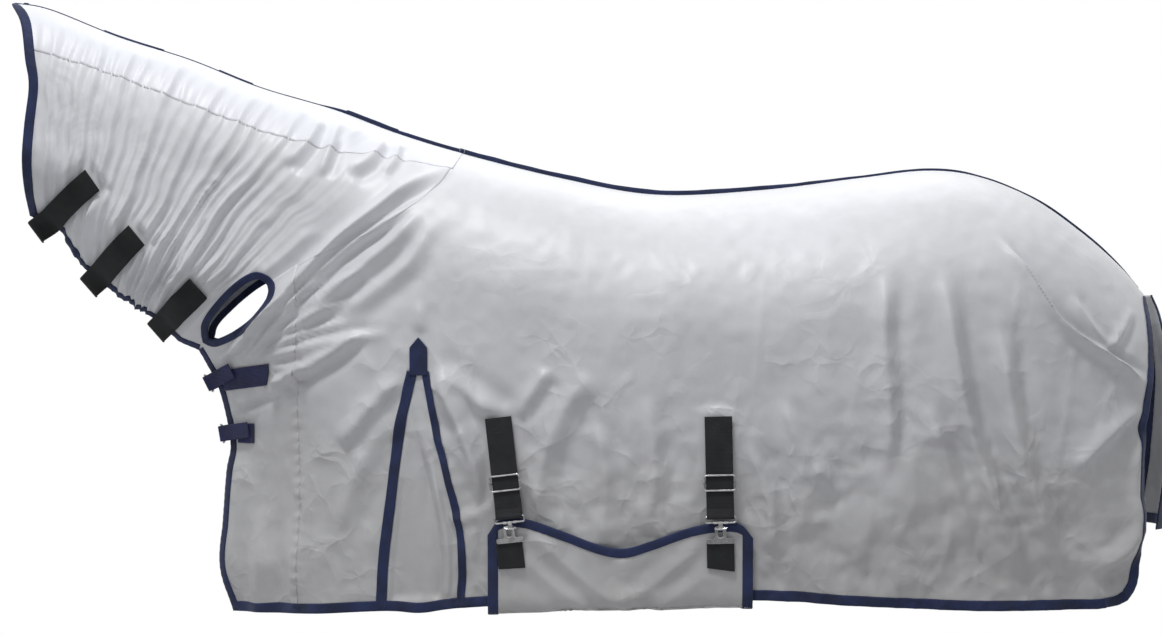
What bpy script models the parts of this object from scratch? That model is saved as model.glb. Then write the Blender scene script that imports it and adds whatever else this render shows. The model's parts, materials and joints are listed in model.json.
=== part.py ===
"""Full-neck fly sheet for a horse, in its worn shape.

Metres, +Z up. The origin is at the withers on the centre plane, +X runs towards the tail and
the horse's left side is at -Y. Every cloth lies on one body surface, whose half width is a
function of the side view (x, z): the pieces are outlined in the side view and carried out to it.
"""

import math

import bmesh
import bpy
import numpy as np
from mathutils import Matrix, Vector

for old in list(bpy.data.objects):
    bpy.data.objects.remove(old)

# Overall sizes
BACK_LENGTH = 1.225  # withers to tail head, along X
NECK_REACH = 0.805  # withers to the front of the poll, along X
SHEET_DROP = 0.795  # withers down to the hem at the ribs
BARREL_HALF = 0.292  # half width over the ribs
POLL_HALF = 0.100  # half width at the poll

# Cloth and tape
CLOTH = 0.002
TAPE = 0.003
BINDING = 0.018  # width of the hem, front, throat and poll tape
SPINE_HALF = 0.009  # half width of the tape along the topline
SPINE_ROWS = 2
KEYHOLE_TAPE = 0.013
GUSSET_TAPE = 0.016
GUSSET_START = 0.08  # share of the legs' length at which the white cloth starts
GUSSET_CAP_HALF = 0.015
GUSSET_CAP_RISE = 0.065
GUSSET_CAP_POINT = 0.019  # height of its pointed top
GUSSET_CAP_TIP = 0.12  # share of its width at the tip
GUSSET_CAP_LAP = 0.006  # it starts this far down the two legs
SEAM_GAP = 0.0026  # left between two cloths that are sewn edge to edge
LAY_GAP = 0.0005  # left between two cloths that lie on each other
FACET_ROOM = 0.0013  # added where a patch lies on a curved cloth, for the flats of both
TAIL_HEAD_FREE = 0.030  # the rear edge's tape starts this far below the tail head
CHEST_TOP_FREE = 0.006  # the throat and front tapes stop this far short of each other's end
POLL_FREE = 0.011  # the poll tape stops this far below the topline's tape
SPINE_END = 0.003  # the topline tape stops this far short of the poll and of the tail head

# Roundness of the body surface
NECK_ROUND = 0.15  # depth below the crest at which the neck is at its widest
BACK_ROUND = 0.26  # the same below the back
THROAT_ROUND = 0.12  # distance behind the throat edge at which the neck is full
CHEST_ROUND = 0.20
EDGE_SHARE = 0.07  # share of the half width that is left at the throat and chest edges
TUCK_START, TUCK_SPAN, HEM_TUCK = 0.35, 0.45, 0.10  # the lower barrel curves in

# Belly band and its closures
BAND_FRONT, BAND_REAR = 0.057, 0.512  # its front and rear edge, along X
BAND_LIFT = 0.009  # how far it lies outside the left side
BAND_SEWN_IN = 0.017  # its sewn edge lies this far inside the right side
BAND_SEWN_LOW = 0.018  # and this far below the hem
BAND_CLEAR = 0.014  # below the hem
BAND_SAG = 0.008  # the middle of the belly hangs lower than the turns
BAND_TURN = 0.022  # how far it runs in while it turns under
BAND_SPANS_UNDER, BAND_SPANS_UP = 5, 4  # stations of its section below and beside the body
BAND_START = 0.004  # share of the section left free at the sewn edge
STRAP_WIDTH = 0.047
STRAP_THICK = 0.002
STRAP_TOP_LIFT = 0.0055
STRAP_LOW_LIFT = 0.0200
STRAP_LENGTH = 0.171  # sewn top to the bar of the T-hook
SLIDER_AT = 0.113  # below the sewn top
SLIDER_HEIGHT = 0.026
WIRE = 0.0034  # diameter of sliders, hooks and buckles
FIT = 0.0007  # clearance between webbing and metal
SLIDER_CORNER = 0.004
BAR_EASE = 0.0008  # the slider's middle bar bends over this height
HOOK_HEIGHT = 0.010
HOOK_CORNER = 0.003
HOOK_NECK = 0.011
HOOK_STEM = 0.008  # width of the neck
HOOK_BAR = 0.021  # length of the T
TEE_HEIGHT = 0.004
FOLD_BACK = 0.0012  # between the webbing and its end, folded back round the hook
FOLD_LENGTH = 0.016
FOLD_START = 0.014  # above the hook
PLATE_THICK = 0.002
PLATE_ROOM = 0.0012  # between the plate and the tab below it
ARCH_WIDTH, ARCH_HEIGHT = 0.019, 0.024
ARCH_TOP = 0.0055  # above the T's centre
ARCH_WALL = 0.004
SLOT_SIDE = 0.0005  # clearance on each side of the hook's neck
SLOT_HEIGHT = 0.014
PLATE_BAR = 0.008  # height of the wide bar
PLATE_LAP = 0.003
TAB_THICK = 0.0025
TAB_LENGTH = 0.052
TAB_DROP = 0.017  # top of the tab below the T's centre
TAB_SIDE = 0.001  # the tab is wider than the strap by this much on each side

# Chest closures
CHEST_WEB = 0.028
CHEST_WEB_THICK = 0.002
BUCKLE_SPAN = 0.024  # between the outsides of the two upright bars
BUCKLE_LIFT = 0.014  # in front of the chest edge
TONGUE_WIRE = 0.0026
BILLET_SLOT = 0.0065
BILLET_LIFT = 0.0058  # from the body surface to the middle of the billet
BILLET_SEWN = (0.085, 0.060, 0.035, 0.014)  # stations on the right side, behind the chest edge
BILLET_FREE = ((0.004, 0.006), (0.022, 0.003), (0.045, 0.003))  # the same on the left, and lift
BILLET_TURN = 0.006  # beside the buckle's right bar
BILLET_CROSS = 0.004  # beside the bars, where it passes from behind to the front
BILLET_EASE = 0.0006
BUCKLE_CORNER = 0.003
TONGUE_PAST = 0.003  # the tongue's tip reaches past the right bar
PATCH_ROOM = 0.0005  # added below it, for the flats of the surface
PATCH_BEHIND = 0.020  # the sewn patch starts this far behind the chest edge
PATCH_RISE = {"upper": 0.012, "lower": 0.0}  # its rear end is higher than its front

# Neck closures
NECK_STRAP_WIDTH = 0.045
NECK_STRAP_THICK = 0.0024
NECK_STRAP_LIFT = 0.0080
NECK_STRAP_NOSE = 0.019  # how far it runs round in front of the throat edge
NECK_STRAP_SEWN_Y = 0.006  # its sewn end, on the right side of the centre plane
NECK_STRAP_START = 0.004  # the strap lies on the neck from here on
LOOP_PATCH_THICK = 0.0016
LOOP_PATCH_SPAN = (0.45, 0.97)  # share of the strap's length that it backs

# Tail flap
TAIL_FLAP_DROP = 0.420
TAIL_FLAP_HALF = 0.115
TAIL_HINGE_BACK, TAIL_HINGE_DOWN = 0.016, 0.006  # from the tail head to its sewn top
TAIL_CAMBER = 2.6  # how fast its sides fall back towards the body, per metre

NAVY = (0.014, 0.027, 0.095)
BLACK = (0.012, 0.013, 0.016)
WHITE = (0.72, 0.74, 0.77)
PALE = (0.80, 0.82, 0.85)
STEEL = (0.75, 0.75, 0.76)


# Outlines in the side view, as (x, z)

def neck(x_share, z):
    return (-x_share * NECK_REACH, z)


def back(x_share, z):
    return (x_share * BACK_LENGTH, z)


def low(x, above_hem):
    return (x, above_hem - SHEET_DROP)


def rump(x_share, above_hem):
    return (x_share * BACK_LENGTH, above_hem - SHEET_DROP)


def throat(x_share, z):
    """Between the top of the chest and the front of the poll."""
    return (CHEST_TOP[0] - x_share * (NECK_REACH + CHEST_TOP[0]), z)


def breast(x, share):
    """Between the top of the chest and the hem."""
    return (x, CHEST_TOP[1] - share * (SHEET_DROP + CHEST_TOP[1]))


def rear(x_share, share):
    """Between the tail head and the hem."""
    return (x_share * BACK_LENGTH, TAIL_HEAD_Z - share * (SHEET_DROP + TAIL_HEAD_Z))


CHEST_TOP = (-0.4685, -0.350)  # where the throat edge ends and the chest edge starts
TAIL_HEAD_Z = -0.246
TOPLINE = [
    neck(1.0, 0.273), neck(0.917, 0.261), neck(0.76, 0.211), neck(0.604, 0.171),
    neck(0.447, 0.121), neck(0.28, 0.081), neck(0.145, 0.040), (0.0, 0.004),
    back(0.147, -0.041), back(0.287, -0.071), back(0.441, -0.063), back(0.588, -0.041),
    back(0.683, -0.028), back(0.757, -0.038), back(0.838, -0.077), back(0.911, -0.139),
    back(0.967, -0.199), back(1.0, TAIL_HEAD_Z),
]
POLL_EDGE = [
    neck(1.0, 0.273), neck(0.967, 0.232), neck(0.950, 0.161), neck(0.942, 0.115),
    neck(0.953, 0.038), neck(0.960, -0.049), neck(0.960, -0.109),
]
THROAT_EDGE = [
    neck(0.960, -0.109), throat(0.732, -0.139), throat(0.636, -0.193), throat(0.500, -0.235),
    throat(0.261, -0.288), throat(0.115, -0.331), CHEST_TOP,
]
CHEST_EDGE = [
    CHEST_TOP, breast(-0.456, 0.049), breast(-0.434, 0.148), breast(-0.417, 0.285),
    breast(-0.411, 0.396), breast(-0.417, 0.488), breast(-0.424, 0.688), breast(-0.430, 0.870),
    low(-0.407, -0.024),
]
HEM = [
    low(-0.407, -0.024), low(-0.280, -0.018), low(-0.126, -0.008), low(-0.061, -0.010),
    low(0.009, 0.0), low(0.165, 0.010), low(0.336, 0.015), rump(0.424, 0.018),
    rump(0.5535, 0.009), rump(0.694, 0.001), rump(0.836, -0.002),
]
REAR_CORNER = [
    rump(0.910, -0.002), rump(0.945, 0.006), rump(0.968, 0.038), rump(0.976, 0.087),
]
REAR_EDGE = [
    rump(0.976, 0.087), rear(0.980, 0.663), rear(0.983, 0.4736), rear(0.992, 0.3315),
    rear(0.999, 0.220), rear(1.001, 0.098), back(1.0, TAIL_HEAD_Z),
]
CREST_SEAM = [
    neck(0.947, 0.189), neck(0.717, 0.126), neck(0.561, 0.078), neck(0.461, 0.046),
    neck(0.361, 0.020), neck(0.270, 0.003), neck(0.123, -0.012), (-0.006, -0.030),
]
NECK_SEAM = [
    (0.005, 0.002), (-0.020, -0.046), (-0.044, -0.070), (-0.074, -0.096), (-0.130, -0.136),
    (-0.200, -0.168), (-0.278, -0.203),
]
NECK_FOOT = [
    (-0.278, -0.203), (-0.330, -0.236), (-0.396, -0.280), (-0.440, -0.315), CHEST_TOP,
]
CHEST_SEAM = [(-0.278, -0.203), low(-0.279, 0.358), low(-0.280, 0.183), low(-0.280, -0.018)]
KEYHOLE = [
    (-0.447, -0.328), (-0.440, -0.300), (-0.398, -0.254), (-0.356, -0.226), (-0.333, -0.233),
    (-0.331, -0.256), (-0.355, -0.286), (-0.393, -0.314), (-0.430, -0.330),
]
GUSSET_FORE = [
    low(-0.074, 0.409), low(-0.098, 0.308), low(-0.113, 0.186), low(-0.126, 0.080),
    low(-0.129, 0.020),
]
GUSSET_HIND = [
    low(-0.051, 0.409), low(-0.032, 0.308), low(-0.013, 0.231), low(0.006, 0.153),
    low(0.013, 0.084), low(0.010, 0.020),
]
BAND_TOP = [
    low(BAND_FRONT, 0.128), low(BAND_FRONT + 0.022, 0.155), low(0.122, 0.157), low(0.182, 0.138),
    low(0.251, 0.113), low(0.293, 0.108), low(0.336, 0.120), low(0.404, 0.144), low(0.455, 0.153),
    low(BAND_REAR - 0.022, 0.150), low(BAND_REAR, 0.126),
]
HALF_WIDTHS = [
    neck(1.0, POLL_HALF), neck(0.745, 0.113), neck(0.497, 0.138), neck(0.248, 0.186),
    (0.0, 0.232), back(0.122, 0.262), back(0.245, BARREL_HALF - 0.009),
    back(0.49, BARREL_HALF), back(0.735, BARREL_HALF - 0.010), back(0.816, BARREL_HALF - 0.025),
    back(0.898, BARREL_HALF - 0.058), back(0.943, BARREL_HALF - 0.085),
    back(0.980, BARREL_HALF - 0.113), back(1.02, BARREL_HALF - 0.148),
]

# Closures, placed in the side view: centre of the sewn top, and a point lower on the strap
BELLY_STRAPS = {
    "front": (low(0.0765, 0.3315), low(0.099, 0.159)),
    "rear": (low(0.452, 0.3345), low(0.4565, 0.146)),
}
NECK_STRAPS = {  # root at the throat edge, length, and turn from square to the throat in degrees
    1: (throat(0.8306, -0.128), 0.1344, -15.1),
    2: (throat(0.5513, -0.226), 0.1233, -10.6),
    3: (throat(0.1917, -0.307), 0.1063, -10.4),
}
CHEST_STRAPS = {"upper": breast(0, 0.121)[1], "lower": breast(0, 0.333)[1]}  # buckle heights
CHEST_PATCH_BACK = {"upper": -0.331, "lower": -0.362}  # rear end of each patch, along X
CHEST_PATCH_WIDTH = {"upper": 0.038, "lower": 0.036}

# The tail flap: its middle, as (back, down) from the tail head, and (share down, half width)
TAIL_MIDDLE = [
    (TAIL_HINGE_BACK, TAIL_HINGE_DOWN), (0.034, 0.050), (0.058, 0.150), (0.058, 0.280),
    (0.040, TAIL_FLAP_DROP),
]
TAIL_HALVES = [
    (0.0, 0.050), (0.25, 0.085), (0.6, TAIL_FLAP_HALF - 0.005), (1.0, TAIL_FLAP_HALF),
]


# Curves in the side view

def smooth(points, per_span=10):
    """A Catmull-Rom curve through the points, as an array of close points."""
    p = np.array(points, float)
    p = np.vstack([2 * p[0] - p[1], p, 2 * p[-1] - p[-2]])
    t = np.linspace(0, 1, per_span, endpoint=False)[:, None]
    spans = []
    for a, b, c, d in zip(p[:-3], p[1:-2], p[2:-1], p[3:]):
        spans.append(0.5 * (2 * b + (c - a) * t + (2 * a - 5 * b + 4 * c - d) * t ** 2
                            + (3 * b - a - 3 * c + d) * t ** 3))
    return np.vstack(spans + [p[-2][None]])


def spread(line, shares):
    """Points of a line at shares of its length."""
    steps = np.linalg.norm(np.diff(line, axis=0), axis=1)
    along = np.concatenate([[0], np.cumsum(steps)]) / steps.sum()
    return np.stack([np.interp(shares, along, line[:, k]) for k in range(line.shape[1])], axis=-1)


def evenly(line, spacing):
    """Points of a line, about a spacing apart."""
    length = np.linalg.norm(np.diff(line, axis=0), axis=1).sum()
    return spread(line, np.linspace(0, 1, max(2, round(length / spacing) + 1)))


TOP = smooth(TOPLINE)
FORE = np.vstack([smooth(THROAT_EDGE), smooth(CHEST_EDGE)[1:]])
WIDTHS = smooth(HALF_WIDTHS)


def fore_distance(x, z):
    """Distance in the side view to the throat and chest edge."""
    p = np.stack([x, z], axis=-1)[..., None, :]
    a, b = FORE[:-1], FORE[1:]
    t = np.clip(((p - a) * (b - a)).sum(-1) / ((b - a) ** 2).sum(-1), 0, 1)
    return np.linalg.norm(p - a - t[..., None] * (b - a), axis=-1).min(-1)


def half_width(x, z):
    """Half width of the body surface at a point of the side view."""
    x, z = np.asarray(x, float), np.asarray(z, float)
    depth = np.maximum(np.interp(x, TOP[:, 0], TOP[:, 1]) - z, 0)
    top_round = np.interp(x, (-0.4, 0.1), (NECK_ROUND, BACK_ROUND))
    crown = np.sqrt(1 - (1 - np.minimum(depth / top_round, 1)) ** 2)
    fore_round = np.interp(x, (-0.5, -0.36), (THROAT_ROUND, CHEST_ROUND))
    full = np.sin(math.pi / 2 * np.minimum(fore_distance(x, z) / fore_round, 1))
    tuck = np.clip((depth - TUCK_START) / TUCK_SPAN, 0, 1)
    tuck = tuck * tuck * (3 - 2 * tuck)
    widest = np.interp(x, WIDTHS[:, 0], WIDTHS[:, 1])
    return widest * crown * (EDGE_SHARE + (1 - EDGE_SHARE) * full) * (1 - HEM_TUCK * tuck)


def on_body(xz, side, lift=0.0):
    """Points of the side view carried out to the body surface of one side, and out by lift."""
    x, z = xz[..., 0], xz[..., 1]
    w, e = half_width(x, z), 0.0015
    slope_x = (half_width(x + e, z) - half_width(x - e, z)) / (2 * e)
    slope_z = (half_width(x, z + e) - half_width(x, z - e)) / (2 * e)
    out = np.stack([-slope_x, np.full_like(w, side), -slope_z], axis=-1)
    out /= np.linalg.norm(out, axis=-1, keepdims=True)
    return np.stack([x, side * w, z], axis=-1) + out * np.asarray(lift)[..., None]


def inset(line, width, turn):
    """A line moved sideways over the body surface; turn is 1 to the left of its run, else -1."""
    run = np.gradient(line, axis=0)
    run /= np.linalg.norm(run, axis=1, keepdims=True)
    across = turn * np.stack([-run[:, 1], run[:, 0]], axis=-1)
    shares = np.linspace(0, 1, 25) ** 2
    path = line[:, None] + across[:, None] * (width * shares)[None, :, None]
    y = half_width(path[..., 0], path[..., 1])
    steps = np.sqrt((np.diff(path, axis=1) ** 2).sum(-1) + np.diff(y, axis=1) ** 2)
    length = np.concatenate([np.zeros((len(line), 1)), np.cumsum(steps, axis=1)], axis=1)
    reach = np.array([np.interp(width, row, width * shares) for row in length])
    return line + across * reach[:, None]


def trimmed(first, second):
    """Two lines cut where the end of the first meets the start of the second."""
    gaps = np.linalg.norm(first[:, None] - second[None], axis=-1)
    i, j = np.unravel_index(np.argmin(gaps), gaps.shape)
    corner = (first[i] + second[j]) / 2
    return np.vstack([first[:i], corner]), np.vstack([corner, second[j + 1:]])


def dense(line):
    return evenly(line, 0.002)


def quad_outline(top, rear, bottom, front):
    """Four lines that run round a patch, cut at its four corners."""
    top, rear = trimmed(dense(top), dense(rear))
    rear, bottom = trimmed(rear, dense(bottom))
    bottom, front = trimmed(bottom, dense(front))
    front, top = trimmed(front, top)
    return top, rear, bottom, front


def coons(outline):
    """A map from (u, v) to the side view: u runs front to rear, v top to bottom."""
    top, rear, bottom, front = outline
    bottom, front = bottom[::-1], front[::-1]

    def place(u, v):
        t, b = spread(top, u), spread(bottom, u)
        f, r = spread(front, v), spread(rear, v)
        u, v = u[..., None], v[..., None]
        ruled = (1 - v) * t + v * b + (1 - u) * f + u * r
        return ruled - ((1 - u) * (1 - v) * top[0] + u * (1 - v) * top[-1]
                        + (1 - u) * v * bottom[0] + u * v * bottom[-1])

    return place


# Objects

def collection(name):
    made = bpy.data.collections.new(name)
    bpy.context.scene.collection.children.link(made)
    return made


def material(name, colour, roughness, metallic=0.0):
    made = bpy.data.materials.new(name)
    made.use_nodes = True
    shader = made.node_tree.nodes["Principled BSDF"]
    shader.inputs["Base Color"].default_value = (*colour, 1)
    shader.inputs["Roughness"].default_value = roughness
    shader.inputs["Metallic"].default_value = metallic
    return made


def add_object(name, data, finish, into=None, hang=None):
    made = bpy.data.objects.new(name, data)
    (into or PARTS).objects.link(made)
    data.materials.append(finish)
    if hang:
        made.parent = hang
    return made


def empty(name, matrix):
    made = bpy.data.objects.new(name, None)
    GUIDES.objects.link(made)
    made.empty_display_size = 0.05
    made.matrix_world = matrix
    return made


def hang_in_place(made, hang):
    """Parent an object whose mesh is in world coordinates."""
    made.parent = hang
    made.matrix_parent_inverse = hang.matrix_basis.inverted()


def cutter(made):
    made.hide_render = True
    made.display_type = "WIRE"
    return made


def boolean(made, other, operation):
    cut = made.modifiers.new(operation.lower(), "BOOLEAN")
    cut.operation = operation
    cut.object = other


def sheet(name, place, columns, rows, thick, finish, hang=None, ring=False):
    """A cloth: a grid of columns and rows, placed by place(u, v) and made thick evenly."""
    bm = bmesh.new()
    bmesh.ops.create_grid(bm, x_segments=columns, y_segments=rows, size=0.5)
    uv = np.array([v.co[:2] for v in bm.verts]) + 0.5
    for vert, point in zip(bm.verts, place(uv[:, 0], uv[:, 1])):
        vert.co = point
    if ring:
        bmesh.ops.remove_doubles(bm, verts=bm.verts, dist=0.00005)
        bmesh.ops.recalc_face_normals(bm, faces=bm.faces)
    mesh = bpy.data.meshes.new(name)
    bm.to_mesh(mesh)
    bm.free()
    mesh.shade_smooth()
    made = add_object(name, mesh, finish, hang=None)
    shell = made.modifiers.new("cloth", "SOLIDIFY")
    shell.thickness = thick
    shell.offset = 0
    shell.use_even_offset = True
    if hang:
        hang_in_place(made, hang)
    return made


def ribbon(name, one_edge, other_edge, thick, finish, hang=None, across=1, ring=False):
    """A tape between two edges, given as equal lists of points."""
    one, other = np.array(one_edge), np.array(other_edge)
    stations = np.linspace(0, 1, len(one))

    def place(u, v):
        a = np.stack([np.interp(u, stations, one[:, k]) for k in range(3)], axis=-1)
        b = np.stack([np.interp(u, stations, other[:, k]) for k in range(3)], axis=-1)
        return a + (b - a) * v[:, None]

    return sheet(name, place, len(one) - 1, across, thick, finish, hang, ring)


def as_mesh(made):
    """A curve object made a mesh, with its caps welded."""
    graph = bpy.context.evaluated_depsgraph_get()
    mesh = bpy.data.meshes.new_from_object(made.evaluated_get(graph))
    bm = bmesh.new()
    bm.from_mesh(mesh)
    bmesh.ops.remove_doubles(bm, verts=bm.verts, dist=0.00001)
    bm.to_mesh(mesh)
    bm.free()
    name, matrix, parent, curve = made.name, made.matrix_world.copy(), made.parent, made.data
    home = made.users_collection[0]
    bpy.data.objects.remove(made)
    bpy.data.curves.remove(curve)
    solid = bpy.data.objects.new(name, mesh)
    home.objects.link(solid)
    solid.parent = parent
    solid.matrix_world = matrix
    return solid


def wire(name, points, diameter, finish, closed=False, hang=None, into=None):
    """A round wire through points, in the coordinates of what it hangs on."""
    curve = bpy.data.curves.new(name, "CURVE")
    curve.dimensions = "3D"
    curve.bevel_depth = diameter / 2
    curve.bevel_resolution = 1
    curve.use_fill_caps = not closed
    spline = curve.splines.new("POLY")
    spline.points.add(len(points) - 1)
    for slot, point in zip(spline.points, points):
        slot.co = (*point, 1)
    spline.use_cyclic_u = closed
    made = add_object(name, curve, finish, into=into, hang=hang)
    bpy.context.view_layer.update()
    return as_mesh(made)


def rounded_loop(width, height, corner, steps=3):
    """A rectangle with round corners in the local XZ plane, about the origin."""
    points = []
    for k, (sx, sz) in enumerate(((1, 1), (-1, 1), (-1, -1), (1, -1))):
        cx, cz = sx * (width / 2 - corner), sz * (height / 2 - corner)
        for step in range(steps + 1):
            turn = math.pi / 2 * (k + step / steps)
            points.append(Vector((cx + corner * math.cos(turn), 0, cz + corner * math.sin(turn))))
    return points


def block(name, size, centre, finish, hang=None, into=None, bevel=0.0):
    bm = bmesh.new()
    bmesh.ops.create_cube(bm, size=1)
    bmesh.ops.scale(bm, vec=Vector(size), verts=bm.verts)
    bmesh.ops.translate(bm, vec=Vector(centre), verts=bm.verts)
    mesh = bpy.data.meshes.new(name)
    bm.to_mesh(mesh)
    bm.free()
    made = add_object(name, mesh, finish, into=into, hang=hang)
    if bevel:
        edge = made.modifiers.new("edges", "BEVEL")
        edge.width = bevel
        edge.segments = 1
    return made


def prism(name, outline, into):
    """A closed outline of the side view, extruded right through the sheet along Y."""
    curve = bpy.data.curves.new(name, "CURVE")
    curve.dimensions = "2D"
    curve.fill_mode = "BOTH"
    curve.extrude = BARREL_HALF * 2
    spline = curve.splines.new("POLY")
    spline.points.add(len(outline) - 1)
    for slot, (x, z) in zip(spline.points, outline):
        slot.co = (x, z, 0, 1)
    spline.use_cyclic_u = True
    made = add_object(name, curve, CLOTH_WHITE, into=into)
    made.matrix_world = Matrix.Rotation(math.pi / 2, 4, "X")
    bpy.context.view_layer.update()
    return cutter(as_mesh(made))


PARTS = collection("fly_sheet")
CUTTERS = collection("cutters")
GUIDES = collection("guides")
CLOTH_WHITE = material("cloth", WHITE, 0.6)
CLOTH_PALE = material("crest_cloth", PALE, 0.6)
NAVY_TAPE = material("navy_tape", NAVY, 0.7)
NAVY_WEB = material("navy_webbing", NAVY, 0.75)
BLACK_WEB = material("black_webbing", BLACK, 0.8)
METAL = material("metal", STEEL, 0.25, 1.0)
SIDES = {"l": -1, "r": 1}

# Edge lines of the panels. Each runs clockwise round the cloth as the left side is seen.
REAR_AND_HEM = np.vstack([smooth(REAR_EDGE)[::-1], smooth(REAR_CORNER)[::-1][1:],
                          smooth(HEM)[::-1][1:]])
CHEST_UP = smooth(CHEST_EDGE)[::-1]
THROAT_UP = smooth(THROAT_EDGE)[::-1]
POLL_UP = smooth(POLL_EDGE)[::-1]
IN = BINDING + SEAM_GAP
HALF_SEAM = SEAM_GAP / 2
TOP_IN = inset(TOP, SPINE_HALF + SEAM_GAP, -1)
REAR_HEM_IN = inset(REAR_AND_HEM, IN, -1)
CHEST_IN = inset(CHEST_UP, IN, -1)
THROAT_IN = inset(THROAT_UP, IN, -1)
POLL_IN = inset(POLL_UP, IN, -1)


def seam(points, turn):
    return inset(smooth(points), HALF_SEAM, turn)


def past(line, start=0.0, end=0.0):
    """A line made longer, straight on, at its start and its end."""
    first = line[0] + (line[0] - line[1]) / np.linalg.norm(line[0] - line[1]) * start
    last = line[-1] + (line[-1] - line[-2]) / np.linalg.norm(line[-1] - line[-2]) * end
    return np.vstack([first, line, last])


# Where the rear edge turns the corner into the hem: the body panel's lower rear corner
corner_at = int(np.argmin(np.linalg.norm(REAR_HEM_IN - np.array(rump(0.955, 0.025)), axis=1)))
BODY_FRONT = np.vstack([seam(NECK_SEAM, 1), seam(CHEST_SEAM, 1)[1:]])[::-1]
crest_back = past(seam(CREST_SEAM, -1), 0.03, 0.03)
OUTLINES = {
    "crest_panel": quad_outline(
        TOP_IN, past(seam(NECK_SEAM, -1), 0.02), past(seam(CREST_SEAM, 1), 0.03, 0.03)[::-1],
        past(POLL_IN, 0.0, 0.02)),
    "neck_panel": quad_outline(
        crest_back, np.vstack([seam(NECK_SEAM, -1), past(seam(NECK_FOOT, -1), 0, 0.02)[1:]]),
        past(THROAT_IN, 0.03, 0.03), past(POLL_IN, 0.03)),
    "chest_panel": quad_outline(
        past(seam(NECK_FOOT, 1)[::-1], 0.03, 0.02), past(seam(CHEST_SEAM, -1), 0.02, 0.03),
        REAR_HEM_IN, past(CHEST_IN, 0.03, 0.03)),
    "body_panel": quad_outline(
        TOP_IN, REAR_HEM_IN[:corner_at + 1], REAR_HEM_IN[corner_at:], past(BODY_FRONT, 0.03, 0.02)),
}


def straight(t):
    return t


def from_edge(t):
    """Close rows at the start, where the surface turns over the back."""
    return t ** 1.8


def from_both(t):
    return (1 - np.cos(math.pi * t)) / 2


PANELS = {  # columns, rows, spacing of the columns, spacing of the rows, finish
    "crest_panel": (12, 3, straight, from_edge, CLOTH_PALE),
    "neck_panel": (12, 12, straight, from_both, CLOTH_WHITE),
    "chest_panel": (7, 10, from_edge, straight, CLOTH_WHITE),
    "body_panel": (20, 13, straight, from_edge, CLOTH_WHITE),
}


def panel(kind, tag):
    columns, rows, space_u, space_v, finish = PANELS[kind]
    patch = coons(OUTLINES[kind])

    def place(u, v):
        return on_body(patch(space_u(u), space_v(v)), SIDES[tag])

    return sheet(f"{kind}_{tag}", place, columns, rows, CLOTH, finish)


def cut_line(line, start=0.0, end=0.0):
    """A line shortened at its start and its end; between them it keeps its own points."""
    steps = np.linalg.norm(np.diff(line, axis=0), axis=1)
    along = np.concatenate([[0], np.cumsum(steps)])
    inside = (along > start) & (along < along[-1] - end)
    ends = spread(line, np.array([start, along[-1] - end]) / along[-1])
    return np.vstack([ends[0], line[inside], ends[1]])


def edge_tape(name, line, side, start=0.0, end=0.0, stride=3):
    """A tape along an edge, with a station at each few points of the line."""
    kept = cut_line(line, start, end)
    inner = inset(kept, BINDING, -1)
    stations = [*range(0, len(kept) - 1, stride), len(kept) - 1]
    return ribbon(name, on_body(kept[stations], side), on_body(inner[stations], side), TAPE,
                  NAVY_TAPE)


def spine_tape(name, line):
    """A tape that lies over the topline, symmetric about the centre plane."""
    kept = evenly(line, 0.045)
    reach = np.linspace(-1, 1, SPINE_ROWS + 1) * SPINE_HALF

    def place(u, v):
        x = np.interp(u, np.linspace(0, 1, len(kept)), kept[:, 0])
        z = np.interp(u, np.linspace(0, 1, len(kept)), kept[:, 1])
        y = np.interp(v, np.linspace(0, 1, SPINE_ROWS + 1), reach)
        sink = np.array([fall(a, b, c) for a, b, c in zip(x, z, y)])
        return np.stack([x, y, z - sink], axis=-1)

    return sheet(name, place, len(kept) - 1, SPINE_ROWS, TAPE, NAVY_TAPE)


def fall(x, z, y):
    """How far below the topline the body surface is as wide as y."""
    depths = np.linspace(0, 0.2, 41) ** 2
    return float(np.interp(abs(y), half_width(np.full(41, x), z - depths), depths))


def surface_patch(name, corners, side, lift, thick, finish, columns=3, rows=3, hang=None):
    """A patch on the body surface; its corners run top front, top rear, low rear, low front."""
    a, b, c, d = (np.array(p) for p in corners)

    def place(u, v):
        u, v = u[:, None], v[:, None]
        return on_body((1 - v) * ((1 - u) * a + u * b) + v * ((1 - u) * d + u * c), side, lift)

    return sheet(name, place, columns, rows, thick, finish, hang)


def make_panels():
    keyhole = smooth(KEYHOLE + KEYHOLE[:1])[:-1]
    cut = prism("keyhole_cut", offset_ring(keyhole, KEYHOLE_TAPE + SEAM_GAP)[::3], CUTTERS)
    notch = prism("gusset_cut", notch_outline(), CUTTERS)
    for tag in SIDES:
        panel("crest_panel", tag)
        for kind in ("neck_panel", "chest_panel"):
            boolean(panel(kind, tag), cut, "DIFFERENCE")
        boolean(panel("body_panel", tag), notch, "DIFFERENCE")


def offset_ring(ring, distance):
    """A closed line of the side view moved out by a distance."""
    run = np.roll(ring, -1, axis=0) - np.roll(ring, 1, axis=0)
    run /= np.linalg.norm(run, axis=1, keepdims=True)
    out = np.stack([-run[:, 1], run[:, 0]], axis=-1)
    centre = ring.mean(axis=0)
    sign = np.sign(((ring - centre) * out).sum(-1).mean())
    return ring + sign * out * distance


def closed(ring):
    return np.vstack([ring, ring[:1]])


def gusset_lines(tape_share):
    """The two legs' centre lines, moved towards the body cloth by a share of the tape's width."""
    fore = inset(smooth(GUSSET_FORE), abs(tape_share) * GUSSET_TAPE, -1 if tape_share > 0 else 1)
    hind = inset(smooth(GUSSET_HIND), abs(tape_share) * GUSSET_TAPE, 1 if tape_share > 0 else -1)
    return fore, hind


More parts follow.
